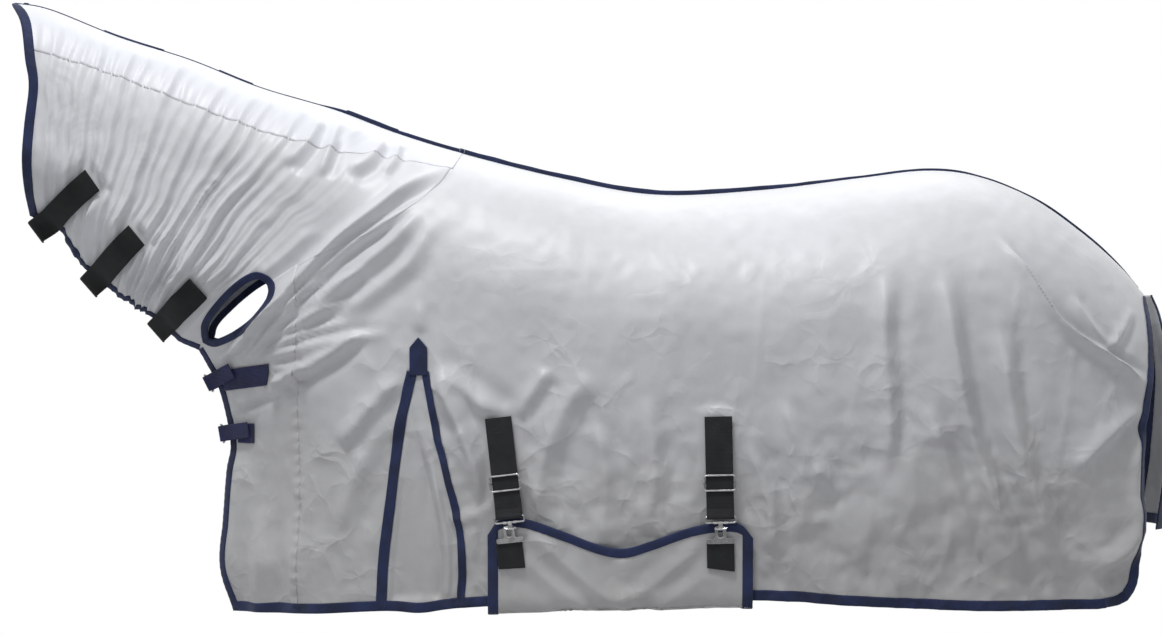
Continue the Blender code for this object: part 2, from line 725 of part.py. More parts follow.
def notch_outline():
    fore, hind = gusset_lines(0.5 + SEAM_GAP / GUSSET_TAPE)
    above = np.array([0, SEAM_GAP])
    below = np.array([0, -0.05])
    fore, hind = fore[::4], hind[::4]
    return np.vstack([fore[0] + above, fore[1:], fore[-1] + below, hind[-1] + below,
                      hind[:0:-1], hind[0] + above])


def make_gussets():
    outer_fore, outer_hind = gusset_lines(0.5)
    inner_fore, inner_hind = gusset_lines(-0.5)
    cloth_fore, cloth_hind = gusset_lines(-0.5 - SEAM_GAP / GUSSET_TAPE)
    hem_in = dense(REAR_HEM_IN)
    rows = 12

    def to_hem(line):
        return trimmed(dense(past(line, 0, 0.04)), hem_in)[0]

    for tag, side in SIDES.items():
        for name, outer, inner in (("fore", outer_fore, inner_fore),
                                   ("hind", outer_hind, inner_hind)):
            shares = np.linspace(0, 1, rows + 1)
            a, b = spread(to_hem(outer), shares), spread(to_hem(inner), shares)
            ribbon(f"gusset_tape_{name}_{tag}", on_body(a, side), on_body(b, side), TAPE, NAVY_TAPE)
        shares = np.linspace(GUSSET_START, 1, rows + 1)
        a, b = spread(to_hem(cloth_fore), shares), spread(to_hem(cloth_hind), shares)
        ribbon(f"gusset_{tag}", on_body(a, side), on_body(b, side), CLOTH, CLOTH_WHITE, across=3)
        make_gusset_cap(tag, side)


def make_gusset_cap(tag, side):
    """A pointed patch over the top of the two legs."""
    (fore_x, top_z), (hind_x, _) = GUSSET_FORE[0], GUSSET_HIND[0]
    middle, low_z = (fore_x + hind_x) / 2, top_z - GUSSET_CAP_LAP
    slope = (1 - GUSSET_CAP_TIP) * GUSSET_CAP_RISE / GUSSET_CAP_POINT
    lift = TAPE / 2 + LAY_GAP + CLOTH / 2 + FACET_ROOM

    def place(u, v):
        width = np.minimum(1, GUSSET_CAP_TIP + v * slope)
        x = middle + (u - 0.5) * 2 * GUSSET_CAP_HALF * width
        return on_body(np.stack([x, low_z + GUSSET_CAP_RISE * (1 - v)], axis=-1), side, lift)

    sheet(f"gusset_cap_{tag}", place, 2, 7, CLOTH, NAVY_TAPE)


def make_bindings():
    withers = int(np.argmin(np.abs(TOP[:, 0])))
    keyhole = smooth(KEYHOLE + KEYHOLE[:1])[:-1]
    keyhole, wide = keyhole[::3], offset_ring(keyhole, KEYHOLE_TAPE)[::3]
    spine_tape("crest_binding", cut_line(TOP[:withers + 1], SPINE_END, SEAM_GAP))
    spine_tape("spine_binding", cut_line(TOP[withers:], 0, SPINE_END))
    for tag, side in SIDES.items():
        edge_tape(f"hem_binding_{tag}", REAR_AND_HEM, side, start=TAIL_HEAD_FREE)
        edge_tape(f"front_binding_{tag}", CHEST_UP, side, start=IN, end=HALF_SEAM + CHEST_TOP_FREE)
        edge_tape(f"throat_binding_{tag}", THROAT_UP, side, start=CHEST_TOP_FREE, end=IN)
        edge_tape(f"poll_binding_{tag}", POLL_UP, side, end=SPINE_HALF + POLL_FREE)
        ribbon(f"keyhole_binding_{tag}", on_body(closed(keyhole), side), on_body(closed(wide), side),
               TAPE, NAVY_TAPE, ring=True)


def rim_share(x):
    """The share of the section that the top edge's binding takes."""
    rise = np.interp(x, BAND_TOP_LINE[:, 0], BAND_TOP_LINE[:, 1]) - BAND_TURN + BAND_CLEAR
    rise = rise - np.interp(x, HEM_LINE[:, 0], HEM_LINE[:, 1])
    return BINDING / rise * BAND_SPANS_UP / (BAND_SPANS_UP + BAND_SPANS_UNDER)


def band_section(x, share):
    """A point of the belly band: share runs from the sewn edge, under, to the top edge."""
    top_z = np.interp(x, BAND_TOP_LINE[:, 0], BAND_TOP_LINE[:, 1])
    hem_z = float(np.interp(x, HEM_LINE[:, 0], HEM_LINE[:, 1]))
    under = hem_z - BAND_CLEAR
    left = float(half_width(x, hem_z)) + BAND_LIFT
    path = [(HINGE_Y, HINGE_Z), (left * 0.3, under - BAND_SAG), (-left * 0.3, under - BAND_SAG),
            (-left + BAND_TURN, under), (-left + BAND_TURN / 3, under + BAND_TURN / 4)]
    for z in np.linspace(under + BAND_TURN, top_z, BAND_SPANS_UP + 1):
        path.append((-float(half_width(x, z)) - BAND_LIFT, z))
    line = smooth(path, 6)
    stations = np.linspace(0, 1, len(line))
    return [np.interp(share, stations, line[:, k]) for k in range(2)]


HEM_LINE = smooth(HEM)
BAND_TOP_LINE = smooth(BAND_TOP)
BAND_MIDDLE = (BAND_FRONT + BAND_REAR) / 2
HEM_AT_BAND = float(np.interp(BAND_MIDDLE, HEM_LINE[:, 0], HEM_LINE[:, 1]))
HINGE_Y = float(half_width(BAND_MIDDLE, HEM_AT_BAND)) - BAND_SEWN_IN
HINGE_Z = HEM_AT_BAND - BAND_SEWN_LOW


def make_belly_band():
    hinge = empty("axis_belly_band", Matrix.Translation((0, HINGE_Y, HINGE_Z)))
    width = BAND_REAR - BAND_FRONT
    edge, gap = BINDING / width, SEAM_GAP / width
    seam_share = 1 + SEAM_GAP / BINDING

    def piece(name, u_span, rims, columns, rows, thick, finish):
        """Rims count back from the top edge, in widths of its binding; None is the sewn edge."""
        def place(u, v):
            x = BAND_FRONT + width * (u_span[0] + (u_span[1] - u_span[0]) * u)
            start = BAND_START if rims[0] is None else 1 - rims[0] * rim_share(x)
            share = start + (1 - rims[1] * rim_share(x) - start) * v
            yz = np.array([band_section(a, b) for a, b in zip(x, share)])
            return np.stack([x, yz[:, 0], yz[:, 1]], axis=-1)
        return sheet(name, place, columns, rows, thick, finish, hinge)

    inner = (edge + gap, 1 - edge - gap)
    piece("belly_band", inner, (None, seam_share), 16, 18, CLOTH, CLOTH_WHITE)
    piece("belly_band_front_binding", (0, edge), (None, 0), 1, 18, TAPE, NAVY_TAPE)
    piece("belly_band_rear_binding", (1 - edge, 1), (None, 0), 1, 18, TAPE, NAVY_TAPE)
    piece("belly_band_top_binding", inner, (1, 0), 16, 1, TAPE, NAVY_TAPE)
    return hinge


def strap_frame(top, lower):
    """A frame on the left side: X across the strap, Y into the body, Z up along the strap."""
    ends = on_body(np.array([top, lower]), SIDES["l"])
    out = on_body(np.array([top, lower]), SIDES["l"], 1.0) - ends
    lifts = np.array([STRAP_TOP_LIFT, STRAP_LOW_LIFT])[:, None]
    ends = ends + out * lifts
    up = Vector(ends[0] - ends[1]).normalized()
    across = up.cross(Vector(out.mean(axis=0))).normalized()
    outward = across.cross(up)
    rotation = Matrix((across, -outward, up)).transposed().to_4x4()
    return Matrix.Translation(Vector(ends[0])) @ rotation


def band_of(name, path, width, thick, finish, hang):
    """A webbing: a path in the local YZ plane, as wide as the webbing along local X."""
    line = np.array(path, float)

    def place(u, v):
        spot = np.stack([np.interp(u, np.linspace(0, 1, len(line)), line[:, k])
                         for k in range(2)], axis=-1)
        local = np.stack([(v - 0.5) * width, spot[:, 0], spot[:, 1]], axis=-1)
        return local

    made = sheet(name, place, len(line) - 1, 1, thick, finish)
    if hang:
        made.parent = hang
    return made


def make_belly_straps(band_hinge):
    for tag, (top, lower) in BELLY_STRAPS.items():
        frame = strap_frame(top, lower)
        sewn = empty(f"axis_belly_strap_{tag}", frame)
        loop = WIRE / 2 + FIT + STRAP_THICK / 2
        turn = [(-loop * math.cos(a), -STRAP_LENGTH - loop * math.sin(a))
                for a in np.linspace(-0.6, math.pi + 0.3, 8)]
        back_layer, fold_z = STRAP_THICK + FOLD_BACK, FOLD_START - STRAP_LENGTH
        path = [(0, 0), (0, -STRAP_LENGTH / 3), (0, -STRAP_LENGTH * 2 / 3), (0, fold_z), *turn,
                (back_layer, fold_z), (back_layer, fold_z + FOLD_LENGTH)]
        band_of(f"belly_strap_{tag}", path, STRAP_WIDTH, STRAP_THICK, BLACK_WEB, sewn)
        make_slider(tag, frame)
        make_t_hook(tag, frame)
        make_lock_plate(tag, frame, band_hinge)


def make_slider(tag, frame):
    """A wire ring in front of the webbing, with a middle bar that passes behind it."""
    hang = empty(f"axis_belly_slider_{tag}", frame @ Matrix.Translation((0, 0, -SLIDER_AT)))
    inside = STRAP_WIDTH + 2 * FIT
    front = -(STRAP_THICK / 2 + FIT + WIRE / 2)
    behind = -front
    ring = [p + Vector((0, front, 0))
            for p in rounded_loop(inside + WIRE, SLIDER_HEIGHT, SLIDER_CORNER)]
    made = wire(f"belly_slider_{tag}", ring, WIRE, METAL, closed=True, hang=hang)
    side = (inside + WIRE) / 2
    bar = [(-side, front, 0), (-side, behind - BAR_EASE, 0), (-side + BAR_EASE, behind, 0),
           (side - BAR_EASE, behind, 0), (side, behind - BAR_EASE, 0), (side, front, 0)]
    middle = cutter(wire(f"slider_bar_{tag}", bar, WIRE * 0.92, METAL, hang=hang, into=CUTTERS))
    boolean(made, middle, "UNION")


def make_t_hook(tag, frame):
    """A wire loop in the webbing's fold, a neck and the T that drops into the lock plate."""
    hang = empty(f"axis_t_hook_{tag}", frame @ Matrix.Translation((0, 0, -STRAP_LENGTH)))
    ring = [p - Vector((0, 0, HOOK_HEIGHT / 2))
            for p in rounded_loop(STRAP_WIDTH + 2 * FIT + WIRE, HOOK_HEIGHT, HOOK_CORNER)]
    made = wire(f"t_hook_{tag}", ring, WIRE, METAL, closed=True, hang=hang)
    neck_size = (HOOK_STEM, WIRE * 0.8, HOOK_NECK + 0.001)
    stem = block(f"hook_neck_{tag}", neck_size, (0, 0, -HOOK_HEIGHT - HOOK_NECK / 2), METAL,
                 hang, CUTTERS)
    tee = block(f"hook_tee_{tag}", (HOOK_BAR, WIRE * 0.9, TEE_HEIGHT),
                (0, 0, -HOOK_HEIGHT - HOOK_NECK), METAL, hang, CUTTERS)
    boolean(made, cutter(stem), "UNION")
    boolean(made, cutter(tee), "UNION")


def make_lock_plate(tag, frame, band_hinge):
    """The plate that takes the T: a wide bar at the tab's top with an arch over a keyhole slot."""
    tee_drop = STRAP_LENGTH + HOOK_HEIGHT + HOOK_NECK
    tee = frame @ Vector((0, 0, -tee_drop))
    lift = BAND_LIFT + CLOTH / 2 + TAB_THICK + LAY_GAP + PLATE_ROOM + PLATE_THICK / 2
    middle = np.array([[tee.x, tee.z]])
    base = on_body(middle, SIDES["l"], lift)[0]
    out = Vector(on_body(middle, SIDES["l"], 1.0)[0] - on_body(middle, SIDES["l"])[0])
    up = frame.to_3x3() @ Vector((0, 0, 1))
    across = up.cross(out).normalized()
    outward = across.cross(up)
    rotation = Matrix((across, -outward, up)).transposed().to_4x4()
    place = empty(f"lock_plate_{tag}", Matrix.Translation(Vector(base)) @ rotation)
    matrix = place.matrix_world.copy()
    bar_z = ARCH_TOP - ARCH_HEIGHT + PLATE_LAP - PLATE_BAR / 2
    slot_z = ARCH_TOP - ARCH_WALL - SLOT_HEIGHT / 2
    plate = block(f"t_lock_plate_{tag}", (ARCH_WIDTH, PLATE_THICK, ARCH_HEIGHT),
                  (0, 0, ARCH_TOP - ARCH_HEIGHT / 2), METAL, place)
    bar = block(f"lock_bar_{tag}", (STRAP_WIDTH, PLATE_THICK, PLATE_BAR), (0, 0, bar_z), METAL,
                place, CUTTERS)
    slot = block(f"lock_slot_{tag}", (HOOK_STEM + 2 * SLOT_SIDE, PLATE_THICK * 10, SLOT_HEIGHT),
                 (0, 0, slot_z), METAL, place, CUTTERS)
    boolean(plate, cutter(bar), "UNION")
    boolean(plate, cutter(slot), "DIFFERENCE")
    hang_in_place(plate, band_hinge)
    plate.matrix_world = matrix
    make_tab(tag, matrix, band_hinge)


def make_tab(tag, frame, band_hinge):
    """The black tab sewn to the band below the plate."""
    rows = [frame @ Vector((0, 0, -TAB_DROP - share * TAB_LENGTH)) for share in (0, 1)]
    across = frame.to_3x3() @ Vector((STRAP_WIDTH / 2 + TAB_SIDE, 0, 0))
    corners = [rows[0] - across, rows[0] + across, rows[1] + across, rows[1] - across]
    lift = BAND_LIFT + CLOTH / 2 + LAY_GAP + TAB_THICK / 2
    surface_patch(f"belly_tab_{tag}", [(c.x, c.z) for c in corners], SIDES["l"], lift,
                  TAB_THICK, BLACK_WEB, hang=band_hinge)


def make_neck_straps():
    throat_run = np.array(CHEST_TOP) - np.array(THROAT_EDGE[0])
    square = math.atan2(throat_run[0], -throat_run[1])
    for number, (root, length, turn) in NECK_STRAPS.items():
        heading = square + math.radians(turn)
        root, run = np.array(root), np.array([math.cos(heading), math.sin(heading)])
        along = np.array([run[1], -run[0]]) * NECK_STRAP_WIDTH
        sewn = root - run * NECK_STRAP_NOSE
        axis = Vector((along[0], 0, along[1])).normalized()
        into = Vector((0, 1, 0))
        rotation = Matrix((axis, into, axis.cross(into))).transposed().to_4x4()
        origin = Matrix.Translation((sewn[0], NECK_STRAP_SEWN_Y, sewn[1]))
        hang = empty(f"axis_neck_strap_{number}", origin @ rotation)
        rows = 10

        def place(u, v, root=root, run=run, along=along, length=length, sewn=sewn):
            """Row 0 is sewn at the right throat edge, row 1 is the nose, the rest lie on the neck."""
            row = np.round(u * rows)
            across = (v[:, None] - 0.5) * along
            share = np.maximum(row - 2, 0) / (rows - 2)
            spot = NECK_STRAP_START + (length - NECK_STRAP_START) * share
            points = on_body(root + run * spot[:, None] + across, SIDES["l"], NECK_STRAP_LIFT)
            nose = sewn + across
            for turned, y in ((0, NECK_STRAP_SEWN_Y), (1, -NECK_STRAP_SEWN_Y * 2)):
                here = row == turned
                points[here] = np.stack([nose[:, 0], np.full(len(u), y), nose[:, 1]], -1)[here]
            return points

        sheet(f"neck_strap_{number}", place, rows, 2, NECK_STRAP_THICK, BLACK_WEB, hang)
        inner, outer = (root + run * length * share for share in LOOP_PATCH_SPAN)
        corners = [outer - along / 2, outer + along / 2, inner + along / 2, inner - along / 2]
        surface_patch(f"neck_loop_patch_{number}", corners, SIDES["l"],
                      CLOTH / 2 + LAY_GAP + LOOP_PATCH_THICK / 2 + FACET_ROOM, LOOP_PATCH_THICK,
                      BLACK_WEB, columns=3, rows=4)


def make_chest_closures():
    for tag, height in CHEST_STRAPS.items():
        frame = chest_frame(height)
        make_chest_patch(tag, frame.translation.x, height)
        make_buckle(tag, frame)
        make_billet(tag, frame)


def chest_frame(height):
    """A frame on the chest edge: X to the rear, Z up along the edge."""
    down = CHEST_UP[::-1]
    point, above = ([float(np.interp(-z, -down[:, 1], down[:, k])) for k in range(2)]
                    for z in (height, height + CHEST_WEB / 2))
    up = Vector((above[0] - point[0], 0, above[1] - point[1])).normalized()
    left = Vector((0, 1, 0))
    rotation = Matrix((left.cross(up), left, up)).transposed().to_4x4()
    return Matrix.Translation((point[0], 0, point[1])) @ rotation


def make_chest_patch(tag, edge_x, height):
    half = CHEST_PATCH_WIDTH[tag] / 2
    near, far, rise = edge_x + PATCH_BEHIND, CHEST_PATCH_BACK[tag], PATCH_RISE[tag]
    corners = [(near, height + half), (far, height + half + rise), (far, height - half + rise),
               (near, height - half)]
    lift = TAPE / 2 + LAY_GAP + CHEST_WEB_THICK / 2 + PATCH_ROOM
    surface_patch(f"chest_patch_{tag}", corners, SIDES["l"], lift, CHEST_WEB_THICK, NAVY_WEB,
                  columns=5, rows=2)


def make_buckle(tag, frame):
    """A ring across the front of the chest; its left bar carries the tongue."""
    centre = frame @ Matrix.Translation((-BUCKLE_LIFT, 0, 0))
    hang = empty(f"chest_buckle_place_{tag}", centre @ Matrix.Rotation(-math.pi / 2, 4, "Z"))
    ring = rounded_loop(BUCKLE_SPAN - WIRE, CHEST_WEB + 2 * FIT + WIRE, BUCKLE_CORNER)
    wire(f"chest_buckle_{tag}", ring, WIRE, METAL, closed=True, hang=hang)
    bars_apart = BUCKLE_SPAN - WIRE
    pivot = empty(f"axis_chest_tongue_{tag}",
                  centre @ Matrix.Translation((0, -bars_apart / 2, 0)))
    eye = WIRE / 2 + FIT / 2 + TONGUE_WIRE / 2
    around = [(eye * math.cos(a), eye * math.sin(a), 0)
              for a in np.linspace(math.radians(-60), math.radians(-190), 7)]
    tip = (-(WIRE / 2 + FIT + TONGUE_WIRE / 2), bars_apart + TONGUE_PAST, 0)
    wire(f"chest_tongue_{tag}", [*around, tip], TONGUE_WIRE, METAL, hang=pivot)


def make_billet(tag, frame):
    """Webbing from the right side: behind the buckle's right bar, over its left bar, and on."""
    bar = (BUCKLE_SPAN - WIRE) / 2
    clear = WIRE / 2 + FIT + CHEST_WEB_THICK / 2 + BILLET_EASE / 2
    behind, over = -BUCKLE_LIFT + clear, -BUCKLE_LIFT - clear
    back_to_frame = frame.inverted()

    def beside(reach, side, lift):
        spot = frame @ Vector((reach, 0, 0))
        point = on_body(np.array([[spot.x, spot.z]]), side, lift)[0]
        return tuple((back_to_frame @ Vector(point))[:2])

    sewn = [beside(reach, SIDES["r"], BILLET_LIFT) for reach in BILLET_SEWN]
    free = [beside(reach, SIDES["l"], BILLET_LIFT + more) for reach, more in BILLET_FREE]
    path = [*sewn, (behind + BILLET_EASE, bar + BILLET_TURN), (behind, bar),
            (behind - BILLET_EASE, bar - BILLET_CROSS), (over + BILLET_EASE, BILLET_CROSS - bar),
            (over, -bar), (over + BILLET_EASE, -bar - BILLET_CROSS), *free]
    made = band_of(f"chest_billet_{tag}", path, CHEST_WEB, CHEST_WEB_THICK, NAVY_WEB, None)
    turn = Matrix(((0, 1, 0, 0), (0, 0, 1, 0), (1, 0, 0, 0), (0, 0, 0, 1)))
    made.matrix_world = frame @ turn
    slot = block(f"billet_slot_{tag}", (0.02, BUCKLE_SPAN + 0.006, BILLET_SLOT),
                 (-BUCKLE_LIFT, -0.002, 0), NAVY_WEB, into=CUTTERS)
    slot.matrix_world = frame
    boolean(made, cutter(slot), "DIFFERENCE")


def make_tail_flap():
    """A flap that hangs over the tail opening from the tail head."""
    head_x, head_z = TOPLINE[-1]
    hinge = empty("axis_tail_flap", Matrix.Translation((head_x + TAIL_HINGE_BACK, 0,
                                                        head_z - TAIL_HINGE_DOWN)))
    centre, halves = smooth(TAIL_MIDDLE), smooth(TAIL_HALVES)
    edge = BINDING / (2 * TAIL_FLAP_HALF)
    foot = BINDING / TAIL_FLAP_DROP

    def spot(across, down):
        middle = spread(centre, down)
        half = np.interp(down, halves[:, 0], halves[:, 1])
        y = (across - 0.5) * 2 * half
        back_of_head = middle[:, 0] - TAIL_CAMBER * y ** 2
        return np.stack([head_x + back_of_head, y, head_z - middle[:, 1]], axis=-1)

    gap_u, gap_v = SEAM_GAP / (2 * TAIL_HALVES[0][1]), SEAM_GAP / TAIL_FLAP_DROP
    sheet("tail_flap",
          lambda u, v: spot(edge + gap_u + (1 - 2 * edge - 2 * gap_u) * u, (1 - foot - gap_v) * v),
          6, 10, CLOTH, CLOTH_WHITE, hinge)
    down = np.linspace(0, 1, 11)
    outer = [(0.0, d) for d in down] + [(a, 1.0) for a in np.linspace(0, 1, 7)[1:-1]]
    outer += [(1.0, d) for d in down[::-1]]
    inner = [(edge, d * (1 - foot)) for d in down]
    inner += [(a, 1 - foot) for a in np.linspace(edge, 1 - edge, 7)[1:-1]]
    inner += [(1 - edge, d * (1 - foot)) for d in down[::-1]]
    outer, inner = np.array(outer), np.array(inner)
    ribbon("tail_flap_binding", spot(outer[:, 0], outer[:, 1]), spot(inner[:, 0], inner[:, 1]),
           TAPE, NAVY_TAPE, hinge)


make_panels()
make_gussets()
make_bindings()
make_belly_straps(make_belly_band())
make_neck_straps()
make_chest_closures()
make_tail_flap()
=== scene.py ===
"""The looks of the fly sheet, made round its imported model.

Metres, +Z up. The origin is at the withers, +X runs to the tail and the left side is at -Y.
Every cloth lies on one body surface, given by its half width over the side view (x, z), and
the folds are a height above that surface, so tapes and straps follow the cloth below them.
"""

import json
import math

import bmesh
import bpy
import numpy as np
from mathutils import Matrix, Vector

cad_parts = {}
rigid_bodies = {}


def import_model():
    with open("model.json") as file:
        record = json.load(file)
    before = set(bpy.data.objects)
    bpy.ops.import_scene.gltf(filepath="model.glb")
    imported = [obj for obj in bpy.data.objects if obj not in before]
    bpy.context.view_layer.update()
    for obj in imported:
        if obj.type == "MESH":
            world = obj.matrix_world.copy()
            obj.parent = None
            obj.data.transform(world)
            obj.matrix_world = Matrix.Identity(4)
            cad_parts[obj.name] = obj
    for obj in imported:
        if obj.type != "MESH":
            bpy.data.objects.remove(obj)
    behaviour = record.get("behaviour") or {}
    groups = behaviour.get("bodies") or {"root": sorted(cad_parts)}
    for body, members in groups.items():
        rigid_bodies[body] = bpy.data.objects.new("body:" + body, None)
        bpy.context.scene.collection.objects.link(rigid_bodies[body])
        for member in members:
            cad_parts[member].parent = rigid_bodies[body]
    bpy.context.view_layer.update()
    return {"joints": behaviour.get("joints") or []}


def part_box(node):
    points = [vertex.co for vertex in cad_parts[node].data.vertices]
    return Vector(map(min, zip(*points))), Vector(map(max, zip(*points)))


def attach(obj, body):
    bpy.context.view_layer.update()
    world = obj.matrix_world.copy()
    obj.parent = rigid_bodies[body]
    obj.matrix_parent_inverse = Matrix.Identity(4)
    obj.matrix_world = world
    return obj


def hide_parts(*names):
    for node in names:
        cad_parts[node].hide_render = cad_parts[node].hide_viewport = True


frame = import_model()
JOINTS = {joint["name"]: joint for joint in frame["joints"]}

# The sheet's driving sizes, as the model has them
TAIL_HEAD = Vector(JOINTS["tail_flap_lift"]["pos_m"]) - Vector((0.016, 0, -0.006))
BACK_LENGTH = TAIL_HEAD.x
NECK_REACH = 0.805
SHEET_DROP = 0.795
BARREL_HALF = 0.292
POLL_HALF = 0.100
BINDING = 0.018
KEYHOLE_TAPE = 0.013
GUSSET_TAPE = 0.016
STRAP_WIDTH = 0.047
CHEST_WEB = 0.028
NECK_STRAP_WIDTH = 0.045
WIRE = 0.0034
CELL = 0.0042  # spacing of the cloth's points
CLOTH = 0.0005
TAPE = 0.0007
TAPE_LIFT = 0.0013  # from the middle of the cloth to the middle of each face of a folded tape

# Roundness of the body surface
NECK_ROUND, BACK_ROUND, THROAT_ROUND, CHEST_ROUND = 0.15, 0.26, 0.12, 0.20
EDGE_SHARE = 0.07
TUCK_START, TUCK_SPAN, HEM_TUCK = 0.35, 0.45, 0.10


# Outlines in the side view, as (x, z)

def neck(x_share, z):
    return (-x_share * NECK_REACH, z)


def back(x_share, z):
    return (x_share * BACK_LENGTH, z)


def low(x, above_hem):
    return (x, above_hem - SHEET_DROP)


def rump(x_share, above_hem):
    return (x_share * BACK_LENGTH, above_hem - SHEET_DROP)


CHEST_TOP = (-0.4685, -0.350)


def throat(x_share, z):
    """Between the top of the chest and the front of the poll."""
    return (CHEST_TOP[0] - x_share * (NECK_REACH + CHEST_TOP[0]), z)


def breast(x, share):
    """Between the top of the chest and the hem."""
    return (x, CHEST_TOP[1] - share * (SHEET_DROP + CHEST_TOP[1]))


TOPLINE = [
    neck(1.0, 0.273), neck(0.917, 0.261), neck(0.76, 0.211), neck(0.604, 0.171),
    neck(0.447, 0.121), neck(0.28, 0.081), neck(0.145, 0.040), (0.0, 0.004),
    back(0.147, -0.041), back(0.287, -0.071), back(0.441, -0.063), back(0.588, -0.041),
    back(0.683, -0.028), back(0.757, -0.038), back(0.838, -0.077), back(0.911, -0.139),
    back(0.967, -0.199), back(1.0, -0.246),
]
POLL_EDGE = [
    neck(1.0, 0.273), neck(0.967, 0.232), neck(0.950, 0.161), neck(0.942, 0.115),
    neck(0.953, 0.038), neck(0.960, -0.049), neck(0.960, -0.109),
]
THROAT_EDGE = [
    neck(0.960, -0.109), throat(0.732, -0.139), throat(0.636, -0.193), throat(0.500, -0.235),
    throat(0.261, -0.288), throat(0.115, -0.331), CHEST_TOP,
]
CHEST_EDGE = [
    CHEST_TOP, breast(-0.456, 0.049), breast(-0.434, 0.148), breast(-0.417, 0.285),
    breast(-0.411, 0.396), breast(-0.417, 0.488), breast(-0.424, 0.688), breast(-0.430, 0.870),
    low(-0.407, -0.024),
]
HEM = [
    low(-0.407, -0.024), low(-0.280, -0.018), low(-0.126, -0.008), low(-0.061, -0.010),
    low(0.009, 0.0), low(0.165, 0.010), low(0.336, 0.015), low(0.519, 0.018),
    rump(0.5535, 0.009), rump(0.694, 0.001), rump(0.836, -0.002),
]
REAR_CORNER = [rump(0.910, -0.002), rump(0.945, 0.006), rump(0.968, 0.038), rump(0.976, 0.087)]
REAR_EDGE = [
    rump(0.976, 0.087), back(0.980, -0.610), back(0.983, -0.506), back(0.992, -0.428),
    back(0.999, -0.367), back(1.001, -0.300), back(1.0, -0.246),
]
CREST_SEAM = [
    neck(0.947, 0.189), neck(0.717, 0.126), neck(0.561, 0.078), neck(0.461, 0.046),
    neck(0.361, 0.020), neck(0.270, 0.003), neck(0.123, -0.012), (-0.006, -0.030),
]
NECK_SEAM = [
    (0.005, 0.002), (-0.020, -0.046), (-0.044, -0.070), (-0.074, -0.096), (-0.130, -0.136),
    (-0.200, -0.168), (-0.278, -0.203),
]
NECK_FOOT = [
    (-0.278, -0.203), (-0.330, -0.236), (-0.396, -0.280), (-0.440, -0.315), CHEST_TOP,
]
CHEST_SEAM = [(-0.278, -0.203), low(-0.279, 0.358), low(-0.280, 0.183), low(-0.280, -0.018)]
KEYHOLE = [
    (-0.447, -0.328), (-0.440, -0.300), (-0.398, -0.254), (-0.356, -0.226), (-0.333, -0.233),
    (-0.331, -0.256), (-0.355, -0.286), (-0.393, -0.314), (-0.430, -0.330),
]
GUSSET_FORE = [
    low(-0.074, 0.409), low(-0.098, 0.308), low(-0.113, 0.186), low(-0.126, 0.080),
    low(-0.129, 0.020),
]
GUSSET_HIND = [
    low(-0.051, 0.409), low(-0.032, 0.308), low(-0.013, 0.231), low(0.006, 0.153),
    low(0.013, 0.084), low(0.010, 0.020),
]
HALF_WIDTHS = [
    neck(1.0, POLL_HALF), neck(0.745, 0.113), neck(0.497, 0.138), neck(0.248, 0.186),
    (0.0, 0.232), back(0.122, 0.262), back(0.245, BARREL_HALF - 0.009),
    back(0.49, BARREL_HALF), back(0.735, BARREL_HALF - 0.010), back(0.816, BARREL_HALF - 0.025),
    back(0.898, BARREL_HALF - 0.058), back(0.943, BARREL_HALF - 0.085),
    back(0.980, BARREL_HALF - 0.113), back(1.02, BARREL_HALF - 0.148),
]


# Curves in the side view

def smooth(points, per_span=10):
    """A Catmull-Rom curve through the points, as an array of close points."""
    p = np.array(points, float)
    p = np.vstack([2 * p[0] - p[1], p, 2 * p[-1] - p[-2]])
    t = np.linspace(0, 1, per_span, endpoint=False)[:, None]
    spans = []
    for a, b, c, d in zip(p[:-3], p[1:-2], p[2:-1], p[3:]):
        spans.append(0.5 * (2 * b + (c - a) * t + (2 * a - 5 * b + 4 * c - d) * t ** 2
                            + (3 * b - a - 3 * c + d) * t ** 3))
    return np.vstack(spans + [p[-2][None]])


def lengths(line):
    steps = np.linalg.norm(np.diff(line, axis=0), axis=1)
    return np.concatenate([[0], np.cumsum(steps)])


def spread(line, shares):
    """Points of a line at shares of its length."""
    along = lengths(line) / lengths(line)[-1]
    return np.stack([np.interp(shares, along, line[:, k]) for k in range(line.shape[1])], axis=-1)


def evenly(line, spacing):
    return spread(line, np.linspace(0, 1, max(2, round(lengths(line)[-1] / spacing) + 1)))


def cut_line(line, start=0.0, end=0.0):
    total = lengths(line)[-1]
    inside = (lengths(line) > start) & (lengths(line) < total - end)
    ends = spread(line, np.array([start, total - end]) / total)
    return np.vstack([ends[0], line[inside], ends[1]])


def past(line, start=0.0, end=0.0):
    """A line made longer, straight on, at its start and its end."""
    first = line[0] + (line[0] - line[1]) / np.linalg.norm(line[0] - line[1]) * start
    last = line[-1] + (line[-1] - line[-2]) / np.linalg.norm(line[-1] - line[-2]) * end
    return np.vstack([first, line, last])


def unit(vectors):
    return vectors / np.linalg.norm(vectors, axis=-1, keepdims=True)


def ease(value, start, end):
    t = np.clip((value - start) / (end - start), 0, 1)
    return t * t * (3 - 2 * t)


def near_line(x, z, line):
    """Signed distance to a line (positive to the left of its run), and the share along it."""
    p = np.stack([x, z], axis=-1)[..., None, :]
    a, b = line[:-1], line[1:]
    run = b - a
    t = np.clip(((p - a) * run).sum(-1) / (run ** 2).sum(-1), 0, 1)
    gap = p - a - t[..., None] * run
    distance = np.linalg.norm(gap, axis=-1)
    best = distance.argmin(-1)
    side = np.sign(run[..., 0] * gap[..., 1] - run[..., 1] * gap[..., 0])
    pick = np.take_along_axis
    near = pick(distance, best[..., None], -1)[..., 0]
    sign = pick(side, best[..., None], -1)[..., 0]
    share = (best + pick(t, best[..., None], -1)[..., 0]) / len(a)
    return near * np.where(sign == 0, 1, sign), share


